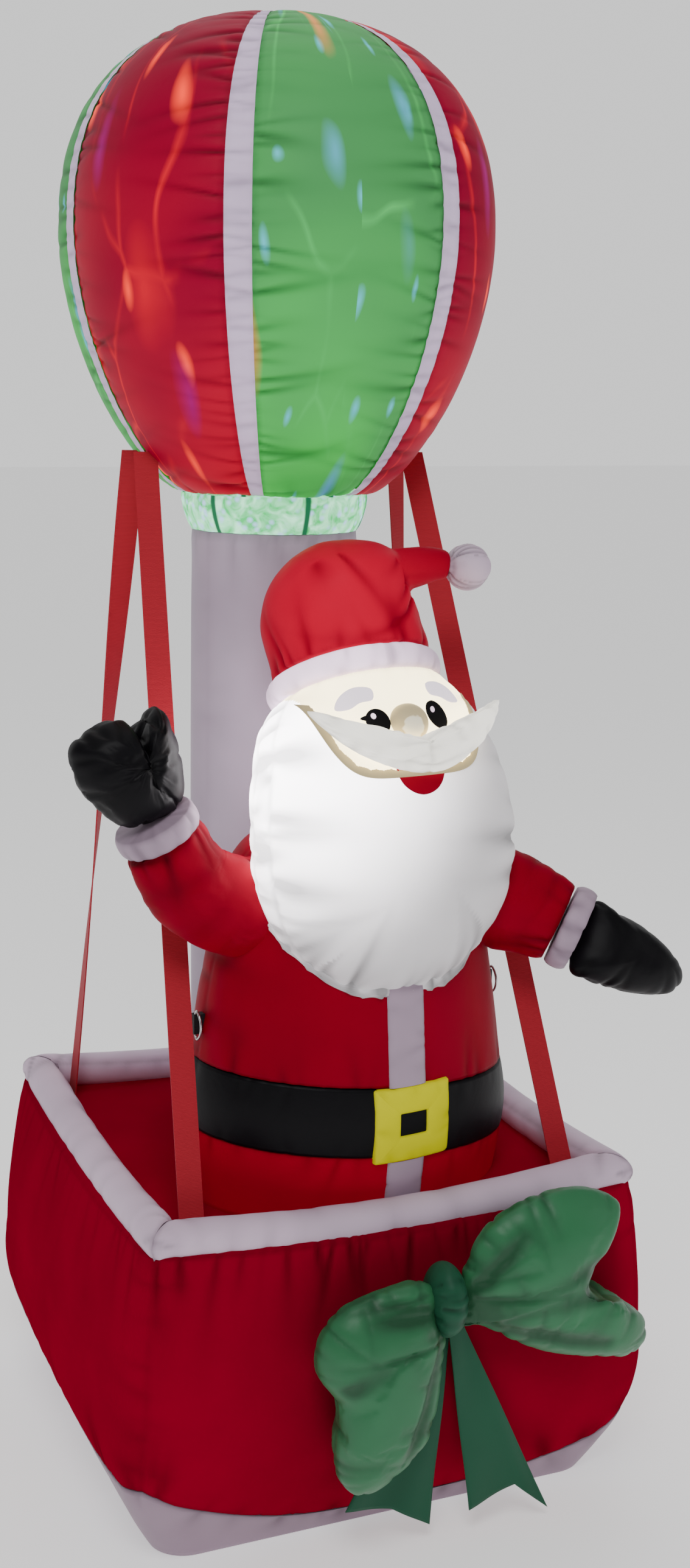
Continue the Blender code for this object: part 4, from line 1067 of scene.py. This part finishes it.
# %% Line under the face
rows = []
dice = np.random.default_rng(5)
for s in 0.1238 * np.sin(np.linspace(-pi / 2, pi / 2, 260)):
    middle = panel_edge(s)
    slope = float(panel_edge(s + 0.001) - panel_edge(s - 0.001)) / 0.002
    across = np.array([-slope, 1.0]) / np.hypot(slope, 1.0)
    wave = 0.0048 + 0.0020 * abs(sin(s * 175)) + 0.0006 * dice.uniform(-1, 1)
    spots = [(-0.0046, -0.001), (-0.0042, 0.0016), (wave * 0.5, 0.0018), (wave, 0.0014),
             (wave + 0.0004, -0.001)]
    rows.append(np.array([on_face(s + across[0] * a, min(middle + across[1] * a, 0.716), lift)
                          for a, lift in spots]))
show("face_line", new_mesh("face_line", *skin(rows, looped=False)), tan)

# %% [markdown]
# ## Nose and moustache
# The nose is a small ball with a tan ring at its root. The moustache is a flat cushion whose wings
# curl up.

# %% Balls and cushions
def ball(centre, radii, place, sides=48, rows_up=26):
    """Rows of a round body with three half sizes."""
    rows = [place(centre[0], centre[1], centre[2] - radii[2])]
    for turn in np.linspace(-pi / 2, pi / 2, rows_up + 1)[1:-1]:
        round_turn = full_turn(sides)
        rows.append(place(centre[0] + radii[0] * cos(turn) * np.sin(round_turn),
                          centre[1] + radii[1] * cos(turn) * np.cos(round_turn),
                          centre[2] + radii[2] * sin(turn)))
    rows.append(place(centre[0], centre[1], centre[2] + radii[2]))
    return rows


def pillow(outline, depth, place, count=20):
    """Rows of a sewn cushion: a seam along the outline and two bulging faces."""
    outline = np.array(outline)
    middle = outline.mean(0)
    shares = 1 - (np.arange(count) / count) ** 1.5

    def ring(share, side):
        spots = middle + share * (outline - middle)
        return place(spots[:, 0], side * depth * (1 - share ** 2.4) ** 0.6, spots[:, 1])

    rows = [place(middle[0], -depth, middle[1])]
    rows += [ring(share, -1) for share in shares[::-1]]
    rows += [ring(share, 1) for share in shares[1:]]
    rows += [place(middle[0], depth, middle[1])]
    return rows

# %% [markdown]
# The tan ring is part of the nose's material: it starts at a set distance from the middle, and
# noise makes its edge rough.

# %% Nose
NOSE = (0.0, 0.150, 0.692)
material, tree, shader, place = begin("nose_cream", 0.5)
nose_at = figure_point(*NOSE)
part = add(tree, "VectorMath", {0: place, 1: tuple(nose_at)}, operation="SUBTRACT").outputs[0]
reach = add(tree, "VectorMath", {0: part, 1: (1.0, 0.25, 1.0)}, operation="MULTIPLY").outputs[0]
far = add(tree, "VectorMath", {0: reach}, operation="LENGTH").outputs["Value"]
rough = add(tree, "TexNoise", {"Vector": place, "Scale": 95.0, "Detail": 1.0}).outputs[0]
sway = add(tree, "Math", {0: rough, 1: 0.010}, operation="MULTIPLY").outputs[0]
edge_at = add(tree, "Math", {0: far, 1: sway}, operation="ADD").outputs[0]
scaled = add(tree, "Math", {0: edge_at, 1: 20.0}, operation="MULTIPLY").outputs[0]
both = mixed(tree, ramp(tree, scaled, (0.40, 0.0), (0.44, 1.0)), (0.93, 0.86, 0.66, 1.0),
             (0.56, 0.46, 0.27, 1.0))
tree.links.new(both, shader.inputs["Base Color"])
tree.links.new(both, shader.inputs["Emission Color"])
shader.inputs["Emission Strength"].default_value = 0.30
crinkled(tree, shader, place)
mesh = new_mesh("nose", *skin(ball(NOSE, (0.0295, 0.0255, 0.0285), figure_point)))
show("nose_ball", mesh, material, ["nose"])

# %% [markdown]
# Half an outline is drawn and mirrored. Then the cushion is blown up.

# %% Moustache
half = [(0.000, 0.634), (0.050, 0.643), (0.108, 0.670), (0.152, 0.717),
        (0.100, 0.706), (0.045, 0.695), (0.000, 0.682)]
outline = smooth_curve(half + [(-s, up) for s, up in reversed(half[1:-1])], 9, looped=True)


def lip(s, out, up):
    """The moustache's place in front of the bag."""
    return figure_point(s, 0.204 - 1.9 * s * s - 0.25 * (up - 0.66) + out, up)


rows = pillow(outline, 0.016, lip)
mesh = new_mesh("moustache", *skin(rows))
gathered(mesh, rows[len(rows) // 2], 0.024, 0.0030, 0.018, 131, looped=True)
gathered(mesh, [lip(0.0, 0.016, up) for up in (0.634, 0.66, 0.69)], 0.012, 0.0030, 0.030, 132)
show("moustache_cushion", blown_up(mesh, cap=0.003), grey, ["moustache"])

# %% [markdown]
# ## Hat
# A puffed white band carries a soft red dome whose peak falls to one side, with a gathered white
# ball on its end.

# %% Band of the hat
def head_point(s, n, h):
    """A point of the tilted head: s to its side, n towards its face, h up it."""
    c, t = cos(HEAD_TILT), sin(HEAD_TILT)
    return figure_point(s, HEAD_F + n * c - h * t, HEAD_UP + n * t + h * c)


def head_ring(radius, h, sides=120):
    """A ring square to the head's own axis."""
    turn = full_turn(sides)
    return head_point(radius * np.sin(turn), radius * np.cos(turn), h)


rows = []
for share in np.linspace(0, 1, 16):
    radius = BRIM_R * (0.955 + 0.062 * sin(pi * share) ** 0.6)
    rows.append(head_ring(radius, BRIM_LOW + BRIM_WIDTH * share))
mesh = new_mesh("brim", *skin(capped(rows)))
for row, seed in ((rows[0], 141), (rows[-1], 142)):
    gathered(mesh, row, 0.026, 0.0045, 0.020, seed, looped=True)
show("brim_band", mesh, trim_white, ["hat_brim"])

# %% [markdown]
# Dome and peak start as two bodies. An even remesh joins them into one bag, which is creased at the
# bend and then blown up.

# %% Dome and peak
DOME = smooth_curve([(0.1160, 0.0, -0.0086, 0.7430, 1.0), (0.1145, 0.0, -0.0145, 0.7622, 1.0),
                     (0.1110, -0.010, -0.032, 0.812, 0.75), (0.1010, -0.010, -0.036, 0.860, 0.5),
                     (0.0800, 0.000, -0.034, 0.898, 0.25), (0.0460, 0.008, -0.031, 0.919, 0.05),
                     (0.0100, 0.012, -0.030, 0.9245, 0.0)], 7)
rows = []
for radius, s, f, up, lean in DOME:
    turn = full_turn(96)
    n = radius * np.cos(turn)
    tilt = HEAD_TILT * lean
    rows.append(figure_point(s + radius * np.sin(turn), f + n * cos(tilt), up + n * sin(tilt)))
dome_points, dome_faces = skin(capped(rows))


def tube_rows(path, radii, sides=48, squash=1.0):
    """Rows of a soft tube along a path, closed with rounded ends."""
    path = np.array(path)
    rows = [path[0]]
    for k, radius in enumerate(radii):
        along = path[min(k + 1, len(path) - 1)] - path[max(k - 1, 0)]
        along = along / np.linalg.norm(along)
        across = np.cross(along, (0.0, 1.0, 0.0))
        across /= np.linalg.norm(across)
        deep = np.cross(across, along)
        turn = full_turn(sides)[:, None]
        rows.append(path[k] + across * radius * np.cos(turn) + deep * radius * squash * np.sin(turn))
    rows.append(path[-1])
    return rows


peak_line = smooth_curve([(0.010, -0.024, 0.862), (0.040, -0.016, 0.870), (0.075, -0.008, 0.880),
                          (0.12, 0.006, 0.888), (0.144, 0.014, 0.886)], 8)
peak_radii = 0.050 - 0.031 * np.linspace(0, 1, len(peak_line)) ** 0.85
peak_points, peak_faces = skin(tube_rows(figure_line(peak_line), peak_radii))
shift = len(dome_points)
both = new_mesh("hat", np.concatenate([dome_points, peak_points]),
                dome_faces + [tuple(k + shift for k in face) for face in peak_faces])
hat_mesh = evened(both, 0.004, 10)
gathered(hat_mesh, head_ring(0.1155, 0.0823), 0.034, 0.0060, 0.034, 151, looped=True)
bend = figure_line([(0.062, 0.040, 0.905), (0.070, 0.030, 0.870), (0.078, 0.020, 0.835)])
gathered(hat_mesh, bend, 0.020, 0.0090, 0.060, 152, groove=0.004)
gathered(hat_mesh, figure_line([(-0.10, 0.00, 0.88), (-0.02, 0.03, 0.925)]), 0.040, 0.0060, 0.050, 153,
         groove=0.0)
show("hat_bag", blown_up(hat_mesh, cap=0.003), suit_red, ["hat"])

# %% [markdown]
# The ball is gathered hard where it is tied to the peak.

# %% Ball on the peak
mesh = new_mesh("pompom", *skin(ball((0.171, 0.018, 0.884), (0.033, 0.033, 0.033), figure_point,
                                     96, 40)))
root = figure_line([(0.140, 0.018, 0.870), (0.139, 0.030, 0.885), (0.140, 0.018, 0.902),
                    (0.141, 0.004, 0.885)])
gathered(mesh, smooth_curve(root, 6, looped=True), 0.012, 0.0060, 0.050, 161, looped=True)
show("pompom_ball", mesh, rim_white, ["hat_pompom"])

# %% [markdown]
# ## Arms
# One arm waves and one hangs out to the side. Sleeve, cuff and mitten are separate bags sewn end to
# end.

# %% Sleeves and cuffs
ARMS = (("raised", [(-0.100, 0.014, 0.425), (-0.188, 0.030, 0.432), (-0.266, 0.036, 0.474),
                    (-0.305, 0.036, 0.542)], 0.075, 0.054, 0.76),
        ("lowered", [(0.100, 0.038, 0.420), (0.185, 0.084, 0.416), (0.230, 0.112, 0.402),
                     (0.268, 0.142, 0.382)], 0.080, 0.058, 0.80))
for number, (name, bones, thick, slim, squash) in enumerate(ARMS):
    line = smooth_curve(bones, 26)
    radii = thick + (slim - thick) * np.linspace(0, 1, len(line)) ** 2.5
    rows = tube_rows(figure_line(line), radii, 112, squash)
    mesh = new_mesh("sleeve", *skin(rows))
    gathered(mesh, rows[-2], 0.026, 0.0070, 0.045, 171 + number, looped=True)
    for seed, around, depth in ((173, 28, 0.0050), (175, 0, 0.0060), (177, 56, 0.0080)):
        gathered(mesh, [row[around] for row in rows[8:-4]], 0.036, depth, 0.050, seed + number,
                 groove=0.0008)
    show("sleeve_bag_" + name, blown_up(mesh, cap=0.003), suit_red, ["sleeve_" + name])
    tip, along = line[-1], line[-1] - line[-2]
    along = along / np.linalg.norm(along)
    steps = [tip + along * 0.032 * share for share in np.linspace(0, 1, 12)]
    puff = [slim + 0.001 + 0.004 * sin(pi * share) ** 0.7 for share in np.linspace(0, 1, 12)]
    rows = tube_rows(figure_line(steps), puff, 72)
    mesh = new_mesh("cuff", *skin(rows))
    gathered(mesh, rows[1], 0.022, 0.0045, 0.022, 181 + number, looped=True)
    gathered(mesh, rows[-2], 0.022, 0.0045, 0.022, 183 + number, looped=True)
    show("cuff_bag_" + name, mesh, trim_white, ["cuff_" + name])

# %% [markdown]
# A mitten is two flat pieces sewn along one outline. The notch between hand and thumb is in the
# outline, and a crease runs on from it.

# %% Raised mitten
up_hand = smooth_curve([(-0.437, 0.668), (-0.404, 0.700), (-0.366, 0.707), (-0.342, 0.678),
                        (-0.328, 0.706), (-0.306, 0.720), (-0.284, 0.680), (-0.273, 0.622),
                        (-0.283, 0.584), (-0.329, 0.560), (-0.372, 0.562), (-0.420, 0.610)],
                       13, looped=True)
rows = pillow(up_hand, 0.050, lambda s, out, up: figure_point(s, out + 0.036, up))
mesh = new_mesh("mitten", *skin(rows))
gathered(mesh, rows[len(rows) // 2], 0.026, 0.0070, 0.030, 191, looped=True)
gathered(mesh, figure_line([(-0.342, 0.086, 0.685), (-0.336, 0.088, 0.650), (-0.335, 0.086, 0.625)]),
         0.020, 0.0040, 0.040, 192, groove=0.003)
show("mitten_bag_raised", blown_up(mesh, cap=0.004), black_nylon,
     ["mitten_raised"])

# %% [markdown]
# The other mitten is drawn along its own axis, from the wrist to the fingers.

# %% Lowered mitten
wrist, fingers = np.array((0.290, 0.160, 0.367)), np.array((0.442, 0.196, 0.281))
along = (fingers - wrist) / np.linalg.norm(fingers - wrist)
across = np.cross((0.30, 0.95, 0.20), along)
across /= np.linalg.norm(across)
deep = np.cross(along, across)
down_hand = smooth_curve([(-0.004, 0.050), (0.045, 0.058), (0.110, 0.048), (0.168, 0.024),
                          (0.186, -0.004), (0.168, -0.032), (0.110, -0.054),
                          (0.045, -0.058), (-0.004, -0.050)], 14, looped=True)


def hand_point(x, out, y):
    """A point of the lowered hand."""
    x, out, y = np.broadcast_arrays(x, out, y)
    spot = wrist + along * x[..., None] + across * y[..., None] + deep * out[..., None]
    return figure_point(spot[..., 0], spot[..., 1], spot[..., 2])


rows = pillow(down_hand, 0.046, hand_point)
mesh = new_mesh("mitten", *skin(rows))
gathered(mesh, rows[len(rows) // 2], 0.028, 0.0070, 0.032, 195, looped=True)
show("mitten_bag_lowered", blown_up(mesh, cap=0.004), black_nylon,
     ["mitten_lowered"])

# %% [markdown]
# ## Tether rings
# A steel D-ring hangs in a webbing tab on each flank, low enough to hook a ground rope to it.

# %% Tether rings
def steel_wire():
    """Bright plated wire with fine draw lines."""
    material, tree, shader, place = begin("steel_wire", 0.28, 0.5, 0.0, 1.0)
    grain = add(tree, "TexNoise", {"Vector": place, "Scale": 420.0, "Detail": 2.0}).outputs[0]
    tree.links.new(ramp(tree, grain, (0.3, 0.46), (0.7, 0.62)), shader.inputs["Base Color"])
    tree.links.new(ramp(tree, grain, (0.3, 0.22), (0.7, 0.34)), shader.inputs["Roughness"])
    return material


wire = steel_wire()
tab_black = webbing("tab_black", (0.012, 0.012, 0.014))
for side, name in ((-1, "left"), (1, "right")):
    tall, deep_in, thick, middle = 0.021, 0.020, 0.0035, 0.262
    ring_low = middle - tall - thick
    reach = float(body_half(ring_low + BELT_SLOPE * BODY_RX)[0]) + 0.006
    loop = [(0.0, tall * share) for share in (-0.5, 0.5)]
    loop += [(deep_in * cos(radians(a)), tall * sin(radians(a))) for a in range(75, -90, -25)]
    loop = smooth_curve(loop, 8, looped=True)
    rows = []
    for k, (f, rise) in enumerate(loop):
        tangent = loop[(k + 1) % len(loop)] - loop[k - 1]
        out = np.array([-tangent[1], tangent[0]]) / np.linalg.norm(tangent)
        bend = full_turn(12)
        swell = thick / 2 * np.cos(bend)
        rows.append(figure_point(side * (reach + thick / 2 * np.sin(bend)), f + out[0] * swell,
                                 middle + rise + out[1] * swell))
    show("tether_wire_" + name, new_mesh("wire", *skin(rows + rows[:1])), wire,
         ["tether_ring_" + name])
    tab = bpy.data.objects["tether_tab_" + name]
    tab.data.materials.clear()
    tab.data.materials.append(tab_black)

# %% [markdown]
# ## Bow
# Two puffed loops are pinched by a knot, so folds fan out from it. Two flat tails with notched ends
# hang below.

# %% Places on the bow
def bow_point(x, out, z):
    """A point of the bow: x across, out from the basket, z up, from its knot."""
    return np.stack(np.broadcast_arrays(BOW_X + x, BOW_Y - out, BOW_Z + z), -1)

# %% [markdown]
# Each loop is a cushion with two lobes. Folds run from the knot towards the lobes and to the notch
# between them.

# %% Loops
loops = (
    ("left", [(-0.005, 0.010), (-0.034, 0.036), (-0.070, 0.036), (-0.147, 0.018),
              (-0.185, -0.026), (-0.187, -0.076), (-0.158, -0.126), (-0.160, -0.200),
              (-0.150, -0.244), (-0.120, -0.268), (-0.073, -0.252), (-0.017, -0.196),
              (0.002, -0.072)],
     ((-0.120, 0.010), (-0.176, -0.100), (-0.060, -0.230))),
    ("right", [(0.018, 0.017), (0.048, 0.086), (0.092, 0.119), (0.150, 0.134), (0.206, 0.133),
               (0.256, 0.110), (0.262, 0.080), (0.212, -0.014), (0.280, -0.052),
               (0.312, -0.078), (0.316, -0.118), (0.275, -0.136), (0.148, -0.106),
               (0.050, -0.050), (0.018, -0.045)],
     ((0.110, 0.110), (0.215, 0.030), (0.212, -0.014), (0.230, -0.090))))
for number, (name, outline, folds) in enumerate(loops):
    rows = pillow(smooth_curve(outline, 9, looped=True), 0.052, bow_point)
    mesh = new_mesh("loop", *skin(rows))
    bag = evened(mesh, 0.004, 3)
    gathered(bag, rows[len(rows) // 2], 0.028, 0.0048, 0.036, 201 + number, looped=True)
    for k, (x, z) in enumerate(folds):
        start = bow_point(0.012 * (1 if number else -1), 0.02, -0.005 - 0.01 * k)
        line = [start * (1 - t) + bow_point(x, 0.046, z) * t for t in np.linspace(0, 1, 8)]
        gathered(bag, line, 0.030, 0.0020, 0.030, 205 + 4 * number + k, groove=0.006,
                 wide_groove=0.012)
    pinch = [bow_point(0.030 * (1 if number else -1), 0.02, z) for z in np.linspace(-0.05, 0.05, 7)]
    gathered(bag, pinch, 0.018, 0.0062, 0.080, 221 + number, groove=0.0)
    points, _ = points_of(bag)
    half = basket_half(points[:, 2])
    moved(bag, np.column_stack([points[:, 0], np.minimum(points[:, 1], -half - 0.001),
                                points[:, 2]]))
    show("bow_bag_" + name, blown_up(bag, cap=0.003), bow_nylon,
         ["bow_loop_" + name])

# %% [markdown]
# The knot is a small gathered ball that hides where the loops are pinched.

# %% Knot
mesh = new_mesh("knot", *skin(ball((0.0, 0.0, 0.0), (0.028, 0.044, 0.052), bow_point, 72, 40)))
for k, x in enumerate((-0.026, 0.026)):
    line = [bow_point(x, 0.02 + 0.02 * cos(t), 0.045 * sin(t)) for t in np.linspace(-1.4, 1.4, 10)]
    gathered(mesh, line, 0.014, 0.0060, 0.026, 211 + k)
show("bow_knot_bag", mesh, bow_dark, ["bow_knot"])

# %% [markdown]
# A tail is a single sheet with a little waviness.

# %% Tails
tails = (("left", (0.008, 0.026), ((-0.128, -0.306), (-0.057, -0.319), (0.002, -0.357)), -0.032),
         ("right", (0.016, 0.036), ((0.058, -0.342), (0.131, -0.320), (0.186, -0.369)), -0.026))
for number, (name, top, tips, back) in enumerate(tails):
    rows = []
    for down in np.linspace(0, 1, 60):
        across = np.linspace(0, 1, 25)
        notch = np.interp(across, (0, 0.5, 1), [tips[0][1], tips[1][1], tips[2][1]])
        x = (top[0] + (top[1] - top[0]) * across) * (1 - down) + \
            np.interp(across, (0, 0.5, 1), [tips[0][0], tips[1][0], tips[2][0]]) * down
        z = -0.045 * (1 - down) + notch * down
        fold = 0.0022 * down * np.sin(2 * pi * (across * 1.5 + 0.25 * down)) \
            + 0.0015 * np.sin(9 * down + 4 * across)
        rows.append(bow_point(x, back + 0.0015 + fold, z))
    mesh = new_mesh("tail", *skin(rows, looped=False))
    mesh = with_modifiers(mesh, ("SOLIDIFY", {"thickness": 0.0012, "offset": 0.0}))
    tail = show("bow_sheet_" + name, mesh, bow_dark, ["bow_tail_" + name])
    size = (abs(tips[2][0] - tips[0][0]) + 0.004, max(abs(t[1]) for t in tips) - 0.040)

# %% [markdown]
# ## Floor, camera and light
# A plain pale floor, one broad soft light from the front left, a fill from the right and a pale
# surround, as in a product photograph.

# %% Floor
mesh = bpy.data.meshes.new("floor")
mesh.from_pydata([(-30, -30, 0), (30, -30, 0), (30, 30, 0), (-30, 30, 0)], [], [(0, 1, 2, 3)])
material, tree, shader, place = begin("floor_pale", 0.9)
shader.inputs["Base Color"].default_value = (0.90, 0.90, 0.90, 1.0)
shader.inputs["Emission Color"].default_value = (1.0, 1.0, 1.0, 1.0)
shader.inputs["Emission Strength"].default_value = 0.55
mesh.materials.append(material)
floor = bpy.data.objects.new("floor", mesh)
bpy.context.scene.collection.objects.link(floor)
floor.location.z = -0.0005

# %% [markdown]
# The camera looks from the left of the front, from eye height and a little down, as in the photograph.

# %% Camera
CAMERA_PLACE, CAMERA_LENS = (-1.0257, -2.5737, 1.5946), 43.97
yaw, pitch, roll = radians(22.711), radians(12.005), radians(0.961)
forward = Vector((sin(yaw) * cos(pitch), cos(yaw) * cos(pitch), -sin(pitch)))
right = Vector((cos(yaw), -sin(yaw), 0.0))
above = right.cross(forward)
right_2 = right * cos(roll) + above * sin(roll)
above_2 = -right * sin(roll) + above * cos(roll)
camera_data = bpy.data.cameras.new("camera")
camera_data.lens = CAMERA_LENS
camera_data.sensor_width = 36.0
camera = bpy.data.objects.new("camera", camera_data)
bpy.context.scene.collection.objects.link(camera)
camera.matrix_world = Matrix.Translation(CAMERA_PLACE) @ Matrix(
    (right_2, above_2, -forward)).transposed().to_4x4()
bpy.context.scene.camera = camera

# %% [markdown]
# Large lights give the soft edges of a studio. The surround is dim in front of the object, so that
# the dyes stay deep, and pale behind it.

# %% Lights and surround
def soft_light(name, place, aim, size, power):
    """One large area light."""
    data = bpy.data.lights.new(name, "AREA")
    data.size = size
    data.energy = power
    light = bpy.data.objects.new(name, data)
    bpy.context.scene.collection.objects.link(light)
    light.location = place
    light.rotation_euler = (Vector(aim) - Vector(place)).to_track_quat("-Z", "Y").to_euler()


soft_light("key", (-1.2, -2.7, 4.0), (0, 0, 1.0), 1.4, 66)
soft_light("fill", (3.2, -2.4, 2.4), (0, 0, 1.0), 2.6, 14)
soft_light("top", (0.4, 0.8, 4.6), (0, 0, 1.0), 2.4, 30)
world = bpy.data.worlds.new("studio")
world.use_nodes = True
tree = world.node_tree
part = add(tree, "SeparateXYZ", {"Vector": add(tree, "TexCoord").outputs["Generated"]}).outputs
behind = add(tree, "MapRange", {"Value": part["Y"], "From Min": -1.0, "From Max": 1.0}).outputs[0]
level = ramp(tree, behind, (0.62, 0.22), (0.86, 1.0))
tree.links.new(level, tree.nodes["Background"].inputs["Strength"])
tree.nodes["Background"].inputs["Color"].default_value = (1.0, 1.0, 1.0, 1.0)
bpy.context.scene.world = world
